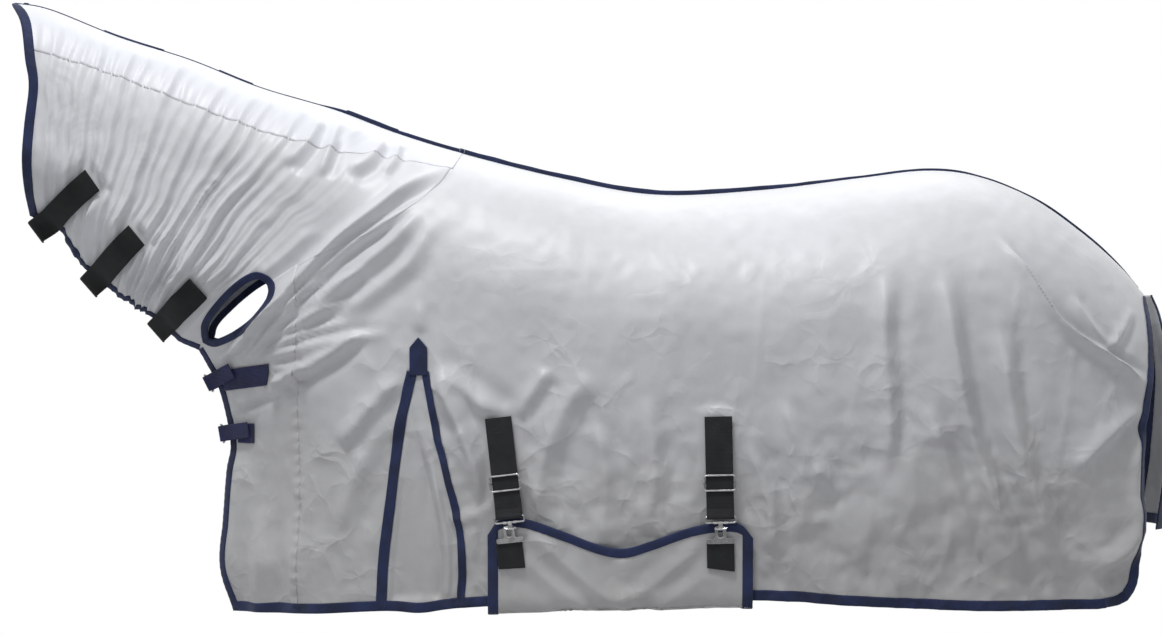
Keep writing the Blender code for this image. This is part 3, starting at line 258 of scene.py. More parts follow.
TOP = smooth(TOPLINE)
FORE = np.vstack([smooth(THROAT_EDGE, 5), smooth(CHEST_EDGE, 5)[1:]])
WIDTHS = smooth(HALF_WIDTHS)


def depth_below_top(x, z):
    return np.maximum(np.interp(x, TOP[:, 0], TOP[:, 1]) - z, 0)


def half_width(x, z):
    """Half width of the body surface at a point of the side view."""
    x, z = np.asarray(x, float), np.asarray(z, float)
    depth = depth_below_top(x, z)
    top_round = np.interp(x, (-0.4, 0.1), (NECK_ROUND, BACK_ROUND))
    crown = np.sqrt(1 - (1 - np.minimum(depth / top_round, 1)) ** 2)
    fore_round = np.interp(x, (-0.5, -0.36), (THROAT_ROUND, CHEST_ROUND))
    full = np.ones_like(x)
    fore = x < -0.18
    if fore.any():
        distance = np.abs(near_line(x[fore], z[fore], FORE)[0])
        full[fore] = np.sin(math.pi / 2 * np.minimum(distance / fore_round[fore], 1))
    tuck = ease(depth, TUCK_START, TUCK_START + TUCK_SPAN)
    widest = np.interp(x, WIDTHS[:, 0], WIDTHS[:, 1])
    return widest * crown * (EDGE_SHARE + (1 - EDGE_SHARE) * full) * (1 - HEM_TUCK * tuck)


# Noise

def lattice(size, seed):
    return np.random.default_rng(seed).random((size, size))


TABLE = lattice(128, 11)
CELLS_X, CELLS_Z = lattice(64, 12), lattice(64, 13)


def noise(x, z, size, shift=0.0):
    """Smooth noise from -1 to 1, with features of about a size."""
    u, v = x / size + shift * 7.3, z / size + shift * 3.9
    i, j = np.floor(u).astype(int), np.floor(v).astype(int)
    f, g = u - i, v - j
    f, g = f * f * (3 - 2 * f), g * g * (3 - 2 * g)
    a, b = TABLE[i % 128, j % 128], TABLE[(i + 1) % 128, j % 128]
    c, d = TABLE[i % 128, (j + 1) % 128], TABLE[(i + 1) % 128, (j + 1) % 128]
    return 2 * ((a * (1 - f) + b * f) * (1 - g) + (c * (1 - f) + d * f) * g) - 1


def creases(x, z, wide, high, shift):
    """Flat facets that meet in creases, from 0 at a facet's middle to about 1 at its creases."""
    u, v = x / wide + shift, z / high + shift * 1.7
    i, j = np.floor(u).astype(int), np.floor(v).astype(int)
    best = np.full(u.shape, 9.0)
    for di in (-1, 0, 1):
        for dj in (-1, 0, 1):
            a, b = i + di, j + dj
            du = a + CELLS_X[a % 64, b % 64] - u
            dv = b + CELLS_Z[a % 64, b % 64] - v
            best = np.minimum(best, np.hypot(du, dv))
    return np.minimum(best, 1.0)


# Folds, each as its line in the side view, its half width and its height

FOLDS = [
    # tension folds from the withers to the upper chest buckle
    ([(0.004, -0.022), (-0.081, -0.062), (-0.137, -0.104), (-0.202, -0.152), (-0.277, -0.227),
      (-0.330, -0.283), (-0.376, -0.339), (-0.420, -0.386)], 0.010, 0.0085),
    ([(-0.062, -0.080), (-0.127, -0.129), (-0.194, -0.175), (-0.269, -0.247), (-0.344, -0.331),
      (-0.400, -0.392)], 0.008, 0.0075),
    ([(-0.060, -0.098), (-0.099, -0.152), (-0.156, -0.199), (-0.222, -0.255), (-0.290, -0.330)],
     0.013, 0.0055),
    ([(-0.040, -0.110), (-0.075, -0.190), (-0.140, -0.245), (-0.200, -0.290)], 0.015, 0.0040),
    ([(-0.157, -0.311), (-0.208, -0.350), (-0.277, -0.387), (-0.344, -0.415), (-0.405, -0.440)],
     0.010, 0.0065),
    ([(-0.240, -0.130), (-0.300, -0.185), (-0.350, -0.222)], 0.012, 0.0030),
    ([(-0.300, -0.420), (-0.345, -0.428), (-0.398, -0.448)], 0.007, 0.0035),
    ([(-0.290, -0.245), (-0.345, -0.300), (-0.400, -0.350), (-0.440, -0.375)], 0.007, 0.0050),
    # round the gusset
    ([(-0.090, -0.387), (-0.160, -0.462), (-0.202, -0.518)], 0.016, 0.0070),
    ([(-0.092, -0.420), (-0.150, -0.520), (-0.185, -0.600), (-0.200, -0.680)], 0.020, 0.0060),
    ([(-0.043, -0.378), (0.004, -0.462), (0.036, -0.541), (0.048, -0.620)], 0.013, 0.0085),
    ([(-0.046, -0.372), (0.030, -0.430), (0.085, -0.475)], 0.016, 0.0050),
    ([(-0.062, -0.260), (-0.058, -0.320), (-0.062, -0.370)], 0.010, 0.0030),
    ([(0.164, -0.378), (0.135, -0.420), (0.105, -0.468)], 0.012, 0.0050),
    ([(0.240, -0.385), (0.190, -0.450), (0.150, -0.560), (0.140, -0.650)], 0.018, 0.0055),
    # the rear dart and what hangs from it
    ([(0.930, -0.150), (0.985, -0.225), (1.041, -0.302), (1.130, -0.362), (1.212, -0.412)],
     0.008, 0.0090),
    ([(1.060, -0.250), (1.100, -0.310), (1.130, -0.350)], 0.010, 0.0035),
    ([(1.190, -0.270), (1.150, -0.330), (1.120, -0.352)], 0.008, 0.0030),
    ([(0.740, -0.200), (0.735, -0.330), (0.745, -0.450), (0.740, -0.560)], 0.014, 0.0060),
    ([(0.835, -0.200), (0.852, -0.330), (0.880, -0.470), (0.930, -0.620), (0.985, -0.740)],
     0.016, 0.0095),
    ([(0.925, -0.270), (0.945, -0.400), (0.965, -0.520), (1.010, -0.640), (1.060, -0.745)],
     0.017, 0.0080),
    ([(0.800, -0.430), (0.845, -0.545), (0.890, -0.680)], 0.015, 0.0050),
    ([(1.205, -0.440), (1.120, -0.500), (1.060, -0.560)], 0.016, 0.0060),
    ([(1.190, -0.600), (1.165, -0.690), (1.090, -0.735)], 0.018, 0.0080),
    ([(1.200, -0.470), (1.180, -0.560), (1.175, -0.640)], 0.014, 0.0050),
    # the lower barrel
    ([(0.560, -0.430), (0.600, -0.520), (0.660, -0.600)], 0.012, 0.0040),
    ([(0.500, -0.500), (0.540, -0.600), (0.545, -0.700)], 0.014, 0.0060),
    ([(0.330, -0.420), (0.345, -0.540), (0.330, -0.660)], 0.016, 0.0045),
    ([(0.240, -0.470), (0.262, -0.560), (0.255, -0.680)], 0.014, 0.0045),
    # bunches on the crest
    ([(-0.236, 0.060), (-0.262, 0.010), (-0.300, -0.030)], 0.010, 0.0060),
    ([(-0.215, 0.052), (-0.222, 0.000), (-0.236, -0.050)], 0.008, 0.0045),
    ([(-0.128, 0.022), (-0.150, -0.014), (-0.190, -0.040)], 0.010, 0.0050),
    ([(-0.105, 0.018), (-0.110, -0.015), (-0.130, -0.040)], 0.008, 0.0035),
]
BUCKLE_AT = (-0.428, -0.392)
# Tension folds from the upper chest buckle: heading in degrees, reach, width, height
PULLS = [
    (58, 0.10, 0.0045, 0.0020), (51, 0.17, 0.0050, 0.0024), (45.5, 0.24, 0.0055, 0.0026),
    (40, 0.30, 0.0060, 0.0024), (34, 0.25, 0.0055, 0.0026), (27, 0.22, 0.0060, 0.0028),
    (19, 0.28, 0.0075, 0.0030), (9, 0.16, 0.0055, 0.0022), (-2, 0.13, 0.0050, 0.0018),
]
for heading, reach, width, height in PULLS:
    turns = [math.radians(heading - 6 * share) for share in (0, 0.4, 0.7, 1)]
    points = [(BUCKLE_AT[0] + (0.045 + reach * share) * math.cos(turn),
               BUCKLE_AT[1] + (0.045 + reach * share) * math.sin(turn))
              for share, turn in zip((0, 0.4, 0.7, 1), turns)]
    FOLDS.append((points, width, height))
FOLD_LINES = [(smooth(points, 5), width, height) for points, width, height in FOLDS]
RUCHE_CENTRE = (-0.76, -0.56)  # where the neck's folds would meet, below the throat
RUCHE_PITCH = math.radians(2.15)
FOLD_GAIN = 2.3
QUIET_SHARE, QUIET_EDGE = 0.92, 0.022  # how much of a fold is pressed flat, and how it fades out
SEAM_X, PUCKER, PUCKER_PITCH = -0.279, 0.0007, 0.021  # the chest seam and its pucker
QUIET = []  # places where straps press the cloth flat, as (centre, half length, half width, run)


def ruching(x, z):
    """The gathered folds of the neck, from the crest down to the throat."""
    dx, dz = x - RUCHE_CENTRE[0], z - RUCHE_CENTRE[1]
    angle, reach = np.arctan2(dz, dx), np.hypot(dx, dz)
    angle = (angle + 0.10 * (reach - 0.5) ** 2 + 0.014 * noise(x, z, 0.10)
             + 0.006 * noise(x, z, 0.04))
    phase = angle / RUCHE_PITCH
    fine = (0.5 + 0.5 * np.sin(2 * math.pi * phase)) ** 2.2
    broad = (0.5 + 0.5 * np.sin(2 * math.pi * phase / 2.7 + 1.3)) ** 1.3
    near_throat = ease(reach, 0.80, 0.42)
    mixed = 0.5 + 0.5 * noise(angle, reach, 0.11, 2.0)
    inside = ease(angle, math.radians(37), math.radians(52)) * ease(x, -0.775, -0.70)
    height = fine * (0.0025 + 0.0048 * near_throat) * (0.25 + 0.75 * mixed)
    height += broad * (0.0016 + 0.0044 * near_throat)
    hair = (0.5 + 0.5 * np.sin(2 * math.pi * phase * 2.3 + 3 * noise(x, z, 0.05, 8.0))) ** 2
    patchy = 0.5 + 0.5 * noise(angle * 3, reach, 0.2, 5.0)
    height += hair * (0.0009 + 0.0017 * near_throat) * patchy
    return inside * height


def crisp(x, z, lean, long, short, shift):
    """Thin raised creases that run at a lean, from 0 to 1."""
    along, across = x * math.cos(lean) + z * math.sin(lean), z * math.cos(lean) - x * math.sin(lean)
    return (1 - np.abs(noise(along / long * short, across, short, shift))) ** 7


def one_fold(x, z, line, width, height):
    reach = width * 4
    box = ((x > line[:, 0].min() - reach) & (x < line[:, 0].max() + reach)
           & (z > line[:, 1].min() - reach) & (z < line[:, 1].max() + reach))
    lift = np.zeros_like(x)
    if not box.any():
        return lift
    gap, share = near_line(x[box], z[box], line)
    q = gap / width
    ridge = np.exp(-np.abs(q) ** 1.5) - 0.55 * np.exp(-((q - 1.9) / 1.1) ** 2)
    fade = ease(share, 0, 0.22) * ease(share, 1, 0.80)
    ends = np.where((share <= 0) | (share >= 1), 0.0, 1.0)
    lift[box] = height * ridge * fade * ends
    return lift


def folds(x, z):
    """Height of the folds above the body surface."""
    x, z = np.asarray(x, float), np.asarray(z, float)
    depth = depth_below_top(x, z)
    lift = ruching(x, z)
    for line, width, height in FOLD_LINES:
        lift += one_fold(x, z, line, width, height)
    down = ease(depth, 0.30, 0.58) * ease(x, -0.12, 0.02)
    warp_x, warp_z = x + 0.020 * noise(x, z, 0.09, 1.0), z + 0.020 * noise(x, z, 0.07, 4.0)
    lift += down * 0.0062 * (creases(warp_x, warp_z, 0.115, 0.085, 0.3) - 0.5)
    lift += down * 0.0026 * (creases(warp_x, warp_z, 0.048, 0.036, 5.1) - 0.5)
    lift += down * 0.0013 * (crisp(warp_x, warp_z, 1.15, 0.16, 0.05, 1.7)
                             + crisp(warp_x, warp_z, 2.0, 0.13, 0.045, 6.3))
    lift += 0.0009 * ease(depth, 0.08, 0.30) * crisp(x, z, 1.4, 0.20, 0.06, 3.1)
    lift += ease(depth, 0.16, 0.45) * ease(x, -0.25, 0.0) * 0.0030 * noise(x, z * 0.35, 0.075, 2.6)
    lift += 0.0016 * noise(x, z, 0.13, 3.0) + 0.0004 * noise(x, z, 0.022, 6.0)
    front = ease(x, -0.24, -0.30) * ease(z, -0.42, -0.50)
    lift += front * 0.0045 * noise(x, z * 0.25, 0.035, 7.0)
    seam_gap = x - SEAM_X
    pucker = np.exp(-(seam_gap / 0.010) ** 2) * ease(z, -0.22, -0.34)
    lift += pucker * PUCKER * (np.sin(z * 2 * math.pi / PUCKER_PITCH + 2 * noise(x, z, 0.05)) - 1)
    lift = FOLD_GAIN * lift * quiet(x, z)
    return lift * ease(depth, 0.002, 0.035) * edge_calm(x, z)


def quiet(x, z):
    calm = np.ones_like(x)
    for (cx, cz), half_length, half_width_, (rx, rz) in QUIET:
        along = np.abs((x - cx) * rx + (z - cz) * rz) - half_length
        across = np.abs((x - cx) * -rz + (z - cz) * rx) - half_width_
        calm *= 1 - QUIET_SHARE * ease(np.maximum(along, across), QUIET_EDGE, 0.0)
    return calm


def edge_calm(x, z):
    """Folds die out towards the throat and chest edges, where the tape holds the cloth."""
    calm = np.ones_like(x)
    fore = x < -0.25
    if fore.any():
        calm[fore] = 0.30 + 0.70 * ease(np.abs(near_line(x[fore], z[fore], FORE)[0]), 0.0, 0.05)
    return calm


def on_body(xz, side, lift=0.0, folded=True):
    """Points of the side view carried out to the cloth of one side, and out by lift."""
    x, z = xz[..., 0], xz[..., 1]
    w, e = half_width(x, z), 0.0015
    slope_x = (half_width(x + e, z) - half_width(x - e, z)) / (2 * e)
    slope_z = (half_width(x, z + e) - half_width(x, z - e)) / (2 * e)
    out = np.stack([-slope_x, np.full_like(w, side), -slope_z], axis=-1)
    out = unit(out)
    height = np.asarray(lift) + (folds(x, z) if folded else 0)
    return np.stack([x, side * w, z], axis=-1) + out * (height + np.zeros_like(w))[..., None]


def inset(line, width, turn):
    """A line moved sideways over the body surface; turn is 1 to the left of its run, else -1."""
    run = unit(np.gradient(line, axis=0))
    across = turn * np.stack([-run[:, 1], run[:, 0]], axis=-1)
    shares = np.linspace(0, 1, 25) ** 2
    path = line[:, None] + across[:, None] * (width * shares)[None, :, None]
    y = half_width(path[..., 0], path[..., 1])
    steps = np.sqrt((np.diff(path, axis=1) ** 2).sum(-1) + np.diff(y, axis=1) ** 2)
    length = np.concatenate([np.zeros((len(line), 1)), np.cumsum(steps, axis=1)], axis=1)
    reach = np.array([np.interp(width, row, width * shares) for row in length])
    return line + across * reach[:, None]


def trimmed(first, second):
    """Two lines cut where the end of the first meets the start of the second."""
    gaps = np.linalg.norm(first[:, None] - second[None], axis=-1)
    i, j = np.unravel_index(np.argmin(gaps), gaps.shape)
    corner = (first[i] + second[j]) / 2
    return np.vstack([first[:i], corner]), np.vstack([corner, second[j + 1:]])


def dense(line):
    return evenly(line, 0.002)


def quad_outline(top, rear, bottom, front):
    top, rear = trimmed(dense(top), dense(rear))
    rear, bottom = trimmed(rear, dense(bottom))
    bottom, front = trimmed(bottom, dense(front))
    front, top = trimmed(front, top)
    return top, rear, bottom, front


def coons(outline):
    """A map from (u, v) to the side view: u runs front to rear, v top to bottom."""
    top, rear, bottom, front = outline
    bottom, front = bottom[::-1], front[::-1]

    def place(u, v):
        t, b = spread(top, u), spread(bottom, u)
        f, r = spread(front, v), spread(rear, v)
        u, v = u[..., None], v[..., None]
        ruled = (1 - v) * t + v * b + (1 - u) * f + u * r
        return ruled - ((1 - u) * (1 - v) * top[0] + u * (1 - v) * top[-1]
                        + (1 - u) * v * bottom[0] + u * v * bottom[-1])

    return place


# Materials

class Nodes:
    """A material's node tree, with short calls to add and join nodes."""

    def __init__(self, name, roughness, metallic=0.0, sheen=0.0):
        self.material = bpy.data.materials.new(name)
        self.material.use_nodes = True
        self.tree = self.material.node_tree
        self.shader = self.tree.nodes["Principled BSDF"]
        self.shader.inputs["Roughness"].default_value = roughness
        self.shader.inputs["Metallic"].default_value = metallic
        self.shader.inputs["Sheen Weight"].default_value = sheen
        self.place = self.add("ShaderNodeTexCoord").outputs["Object"]

    def add(self, kind, **settings):
        node = self.tree.nodes.new(kind)
        for key, value in settings.items():
            if hasattr(node, key):
                setattr(node, key, value)
            else:
                node.inputs[key.replace("_", " ").title()].default_value = value
        return node

    def join(self, source, target):
        self.tree.links.new(source, target)

    def noise(self, scale, detail=3.0):
        node = self.add("ShaderNodeTexNoise", scale=scale, detail=detail)
        self.join(self.place, node.inputs["Vector"])
        return node.outputs["Fac"]

    def ribs(self, pitch, direction, distortion=0.0):
        """Parallel ribs a pitch apart."""
        node = self.add("ShaderNodeTexWave", bands_direction=direction, distortion=distortion)
        node.inputs["Scale"].default_value = 2 * math.pi / (20 * pitch)
        self.join(self.place, node.inputs["Vector"])
        return node.outputs["Fac"]

    def ramp(self, factor, stops):
        node = self.add("ShaderNodeValToRGB")
        ramp = node.color_ramp
        ramp.elements[0].position, ramp.elements[-1].position = stops[0][0], stops[-1][0]
        ramp.elements[0].color, ramp.elements[-1].color = (*stops[0][1], 1), (*stops[-1][1], 1)
        for position, colour in stops[1:-1]:
            ramp.elements.new(position).color = (*colour, 1)
        self.join(factor, node.inputs["Fac"])
        return node.outputs["Color"]

    def ranged(self, source, low_end, high_end, to_low=0.0, to_high=1.0):
        """A value's range moved onto another, and clamped to it."""
        node = self.add("ShaderNodeMapRange", from_min=low_end, from_max=high_end, to_min=to_low,
                        to_max=to_high)
        self.join(source, node.inputs["Value"])
        return node.outputs["Result"]

    def math(self, operation, a, b):
        node = self.add("ShaderNodeMath", operation=operation)
        for slot, value in zip(node.inputs, (a, b)):
            if isinstance(value, (int, float)):
                slot.default_value = value
            else:
                self.join(value, slot)
        return node.outputs[0]

    def colour(self, source):
        self.join(source, self.shader.inputs["Base Color"])

    def roughness(self, source, lowest, highest):
        self.join(self.ranged(source, 0.0, 1.0, lowest, highest), self.shader.inputs["Roughness"])

    def crumple(self, scale, warp, sharp):
        """Thin raised creases in a network, bent by some noise; 1 on a crease."""
        shake = self.add("ShaderNodeTexNoise", scale=scale * 0.8, detail=2.0)
        self.join(self.place, shake.inputs["Vector"])
        mix = self.add("ShaderNodeVectorMath", operation="MULTIPLY_ADD")
        mix.inputs[1].default_value = (warp, warp, warp)
        self.join(shake.outputs["Color"], mix.inputs[0])
        self.join(self.place, mix.inputs[2])
        cells = self.add("ShaderNodeTexVoronoi", feature="DISTANCE_TO_EDGE", scale=scale)
        self.join(mix.outputs[0], cells.inputs["Vector"])
        away = self.math("MINIMUM", self.math("MULTIPLY", cells.outputs["Distance"], sharp), 1.0)
        return self.math("POWER", self.math("SUBTRACT", 1.0, away), 1.6)

    def bump(self, height, distance, strength=0.5, below=None):
        node = self.add("ShaderNodeBump")
        if below:
            self.join(below, node.inputs["Normal"])
        node.inputs["Distance"].default_value = distance
        node.inputs["Strength"].default_value = strength
        self.join(height, node.inputs["Height"])
        self.join(node.outputs["Normal"], self.shader.inputs["Normal"])
        return node.outputs["Normal"]


def cloth_material(name, light, shade):
    """Thin plain-woven polyester with a satin sheen, darker towards the hem by painted shade."""
    m = Nodes(name, 0.42, sheen=0.25)
    height = m.add("ShaderNodeSeparateXYZ")
    m.join(m.place, height.inputs["Vector"])
    # Painted shade: the colour runs from the light colour at the top to the shade colour towards
    # the hem, as light from above falls
    painted_light_above = m.ranged(height.outputs["Z"], -0.80, -0.15)
    mottle = m.math("ADD", m.math("MULTIPLY", m.noise(4.0, 4), 0.35),
                    m.math("MULTIPLY", m.noise(40, 2), 0.15))
    tone = m.math("ADD", mottle, m.math("MULTIPLY", painted_light_above, 0.5))
    m.colour(m.ramp(tone, [(0.20, shade), (0.80, light)]))
    m.roughness(m.noise(12, 3), 0.34, 0.46)
    low_down = m.ranged(height.outputs["Z"], -0.16, -0.42, 0.10)
    patchy = m.ranged(m.noise(9.0, 2), 0.44, 0.62)
    large, small = m.crumple(6.5, 0.16, 5.0), m.crumple(15.0, 0.08, 3.2)
    creased = m.math("ADD", m.math("MULTIPLY", large, 0.6), m.math("MULTIPLY", small, 0.4))
    creased = m.math("MULTIPLY", creased, m.math("MULTIPLY", low_down, patchy))
    creases_normal = m.bump(creased, 0.0050, 1.0)
    weave = m.math("ADD", m.ribs(0.0011, "X", 0.3), m.ribs(0.0011, "Z", 0.3))
    weave = m.math("ADD", m.math("MULTIPLY", weave, 0.4), m.noise(900, 1))
    m.bump(weave, 0.00012, 0.5, creases_normal)
    m.shader.inputs["Sheen Roughness"].default_value = 0.35
    m.shader.inputs["Specular IOR Level"].default_value = 0.5
    return m.material


def tape_material(name, light, shade, pitch, palest):
    """Ribbed woven tape or webbing, paler where its ribs stand high and where a noise runs high."""
    m = Nodes(name, 0.7, sheen=0.15)
    ribs = m.math("MULTIPLY", m.ribs(pitch, "DIAGONAL", 0.4), m.ribs(pitch, "Z", 0.2))
    tone = m.math("ADD", m.math("MULTIPLY", ribs, 0.25), m.math("MULTIPLY", m.noise(25, 4), 0.75))
    m.colour(m.ramp(tone, [(0.25, shade), (0.55, light), (0.85, palest)]))
    m.roughness(m.noise(60, 2), 0.60, 0.85)
    m.bump(m.math("ADD", ribs, m.math("MULTIPLY", m.noise(1500, 1), 0.4)), 0.00025, 0.7)
    return m.material


def hook_tape_material(name):
    """Hook tape: a flat black strip covered in short stiff hooks."""
    m = Nodes(name, 0.88, sheen=0.1)
    cells = m.add("ShaderNodeTexVoronoi", scale=700.0)
    m.join(m.place, cells.inputs["Vector"])
    m.colour(m.ramp(m.noise(30, 5), [(0.3, (0.0045, 0.006, 0.0065)), (0.7, (0.012, 0.015, 0.016))]))
    m.bump(m.math("ADD", cells.outputs["Distance"], m.noise(400, 2)), 0.0003, 0.8)
    return m.material


def metal_material(name):
    """Bright nickel plate with fine scratches and a few dull spots."""
    m = Nodes(name, 0.2, metallic=1.0)
    m.colour(m.ramp(m.noise(90, 3), [(0.3, (0.55, 0.55, 0.56)), (0.6, (0.80, 0.80, 0.81))]))
    m.roughness(m.noise(220, 4), 0.12, 0.34)
    m.bump(m.noise(1200, 2), 0.00005, 0.3)
    return m.material


# Each cloth's second colour is painted shade, reached towards the hem
CLOTH_FINISH = cloth_material("cloth_white", (0.80, 0.815, 0.855), (0.47, 0.47, 0.472))
# A paler, bluer copy of the cloth for the crest panel: painted light, for the top of the neck that
# faces the light from above
CREST_LIT_FINISH = cloth_material("cloth_painted_light", (0.83, 0.85, 0.905), (0.72, 0.735, 0.785))
NAVY = tape_material("tape_navy", (0.012, 0.026, 0.105), (0.005, 0.010, 0.040), 0.0016,
                     (0.03, 0.05, 0.15))
NAVY_WEB = tape_material("webbing_navy", (0.020, 0.026, 0.115), (0.009, 0.012, 0.050), 0.0022,
                         (0.04, 0.05, 0.17))
BLACK_WEB = tape_material("webbing_black", (0.010, 0.012, 0.016), (0.004, 0.005, 0.007), 0.0022,
                          (0.03, 0.034, 0.04))
HOOK_TAPE = hook_tape_material("hook_tape")
METAL = metal_material("nickel")
NAVY_THREAD = tape_material("thread_navy", (0.03, 0.05, 0.17), (0.015, 0.03, 0.10), 0.0006,
                            (0.06, 0.08, 0.2))
PALE_THREAD = tape_material("thread_pale", (0.70, 0.72, 0.78), (0.50, 0.52, 0.58), 0.0006,
                            (0.8, 0.82, 0.86))
BLACK_THREAD = tape_material("thread_black", (0.035, 0.038, 0.045), (0.018, 0.020, 0.024), 0.0006,
                             (0.06, 0.06, 0.07))


# Builders

def add_piece(name, data, body, nodes, finish, slot, thick=0.0):
    """Link a piece, ride it on its body and let it stand for its nodes."""
    obj = bpy.data.objects.new(name, data)
    bpy.context.scene.collection.objects.link(obj)
    data.materials.append(finish)
    if isinstance(data, bpy.types.Mesh):
        data.shade_smooth()
    if thick:
        shell = obj.modifiers.new("thickness", "SOLIDIFY")
        shell.thickness = thick
        shell.offset = 0
    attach(obj, body)
    if nodes:
        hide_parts(*nodes)
    return obj


def grid_mesh(name, points, keep=None, ring=False):
    """A mesh from rows and columns of points; a ring joins its last column to its first."""
    rows, columns = points.shape[:2]
    index = np.arange(rows * columns).reshape(rows, columns)
    if ring:
        index = np.hstack([index, index[:, :1]])
    quads = np.stack([index[:-1, :-1], index[1:, :-1], index[1:, 1:], index[:-1, 1:]], axis=-1)
    quads = quads.reshape(-1, 4)
    if keep is not None:
        quads = quads[keep.reshape(-1)]
    used, quads = np.unique(quads, return_inverse=True)
    mesh = bpy.data.meshes.new(name)
    mesh.from_pydata(points.reshape(-1, 3)[used].tolist(), [], quads.reshape(-1, 4).tolist())
    return mesh


def inside_ring(x, z, ring):
    """Whether points of the side view lie inside a closed line."""
    inside = np.zeros(x.shape, bool)
    for (ax, az), (bx, bz) in zip(ring, np.roll(ring, -1, axis=0)):
        crosses = (az > z) != (bz > z)
        inside ^= crosses & (x < (bx - ax) * (z - az) / (bz - az + 1e-12) + ax)
    return inside


def offset_ring(ring, distance):
    run = unit(np.roll(ring, -1, axis=0) - np.roll(ring, 1, axis=0))
    out = np.stack([-run[:, 1], run[:, 0]], axis=-1)
    sign = np.sign(((ring - ring.mean(axis=0)) * out).sum(-1).mean())
    return ring + sign * out * distance


def body_base(line, side, turn=-1):
    """The cloth beside an edge: gives points and outward normals at a distance in from it."""
    def at(distance):
        xz = inset(line, distance, turn) if distance else line
        low_point, high_point = (on_body(xz, side, step) for step in (0.0, 0.001))
        return low_point, (high_point - low_point) / 0.001
    return at


def folded_tape(name, base, width, stations, body, nodes, finish=NAVY, lift=TAPE_LIFT):
    """A tape folded over an edge: up its inner face, round the edge and down its outer face."""
    rows, seam = [], []
    for share in (-1, -0.85, -0.6, -0.35, -0.12, -0.02, 0.02, 0.12, 0.35, 0.6, 0.85, 1):
        points, normals = base(abs(share) * width)
        bulge = np.tanh(abs(share) * 14) * (1 - 0.25 * ease(abs(share), 0.8, 1.0))
        wave = 0.00025 * np.sin(stations / 0.0021 + 5 * share)
        rows.append(points + normals * (math.copysign(lift * bulge, share) + wave)[:, None])
        if share == 0.85:
            seam = (points + normals * (lift * bulge + TAPE / 2), normals)
    mesh = grid_mesh(name, np.stack(rows))
    add_piece(name, mesh, body, nodes, finish, "navy_tape", TAPE)
    return seam


def stitch_row(points, normals, pitch=0.0036, length=0.0024):
    """Stitches along a line, each as its middle, run and normal."""
    total = lengths(points)[-1]
    spots = np.arange(pitch / 2, total, pitch) / total
    along = lengths(points) / total

    def at(places, values):
        return np.stack([np.interp(places, along, values[:, k]) for k in range(3)], axis=-1)

    step = 0.001
    run = at(np.minimum(spots + step, 1), points) - at(np.maximum(spots - step, 0), points)
    return at(spots, points), unit(run), unit(at(spots, normals)), length


def stitches(name, rows, body, finish, slot, thread=0.0007):
    """All the stitches of some rows as one piece: each is a thread that dives at both ends."""
    verts, faces = [], []
    ring = [(math.cos(a), math.sin(a)) for a in np.linspace(0, 2 * math.pi, 6)[:-1]]
    for middle, run, up, length in rows:
        across = np.cross(run, up)
        for m, r, u, a in zip(middle, run, up, across):
            start = len(verts)
            for share, thick, dive in ((-0.5, 0.35, -0.5), (-0.25, 1.0, 0.25), (0.25, 1.0, 0.25),
                                       (0.5, 0.35, -0.5)):
                centre = m + r * share * length + u * dive * thread
                verts += [centre + (a * c + u * s) * thread / 2 * thick for c, s in ring]
            for step in range(3):
                for k in range(5):
                    a0, a1 = start + step * 5 + k, start + step * 5 + (k + 1) % 5
                    faces.append((a0, a1, a1 + 5, a0 + 5))
            faces.append(tuple(start + k for k in reversed(range(5))))
            faces.append(tuple(start + 15 + k for k in range(5)))
    mesh = bpy.data.meshes.new(name)
    mesh.from_pydata([tuple(v) for v in verts], [], faces)
    return add_piece(name, mesh, body, (), finish, slot)


def cap_ends(mesh, count):
    bm = bmesh.new()
    bm.from_mesh(mesh)
    bm.verts.ensure_lookup_table()
    bm.faces.new([bm.verts[k] for k in range(count)])
    bm.faces.new([bm.verts[k] for k in reversed(range(len(bm.verts) - count, len(bm.verts)))])
    bmesh.ops.recalc_face_normals(bm, faces=bm.faces)
    bm.to_mesh(mesh)
    bm.free()


def wire(name, points, diameter, body, nodes, closed=False, finish=METAL, slot="metal"):
    """A round wire through points."""
    curve = bpy.data.curves.new(name, "CURVE")
    curve.dimensions = "3D"
    curve.bevel_depth = diameter / 2
    curve.bevel_resolution = 5
    curve.use_fill_caps = True
    spline = curve.splines.new("POLY")
    spline.points.add(len(points) - 1)
    for spot, point in zip(spline.points, points):
        spot.co = (*point, 1)
    spline.use_cyclic_u = closed
    return add_piece(name, curve, body, nodes, finish, slot)


def rounded_loop(width, height, corner, steps=8):
    points = []
    for k, (sx, sz) in enumerate(((1, 1), (-1, 1), (-1, -1), (1, -1))):
        cx, cz = sx * (width / 2 - corner), sz * (height / 2 - corner)
        for step in range(steps + 1):
            turn = math.pi / 2 * (k + step / steps)
            points.append(Vector((cx + corner * math.cos(turn), 0, cz + corner * math.sin(turn))))
    return points


def plate_mesh(name, outline, hole, thick, matrix):
    """A flat plate with a hole in the local XZ plane, with soft edges."""
    curve = bpy.data.curves.new(name, "CURVE")
    curve.dimensions = "2D"
    curve.fill_mode = "BOTH"
    curve.extrude = thick / 2 - 0.0004
    curve.bevel_depth = 0.0004
    curve.bevel_resolution = 2
    for line in (outline, hole):
        if line is None:
            continue
        spline = curve.splines.new("POLY")
        spline.points.add(len(line) - 1)
        for spot, (x, z) in zip(spline.points, line):
            spot.co = (x, z, 0, 1)
        spline.use_cyclic_u = True
    holder = bpy.data.objects.new(name, curve)
    bpy.context.scene.collection.objects.link(holder)
    bpy.context.view_layer.update()
    graph = bpy.context.evaluated_depsgraph_get()
    mesh = bpy.data.meshes.new_from_object(holder.evaluated_get(graph))
    bpy.data.objects.remove(holder)
    bpy.data.curves.remove(curve)
    mesh.transform(matrix @ Matrix.Rotation(math.pi / 2, 4, "X"))
    return mesh


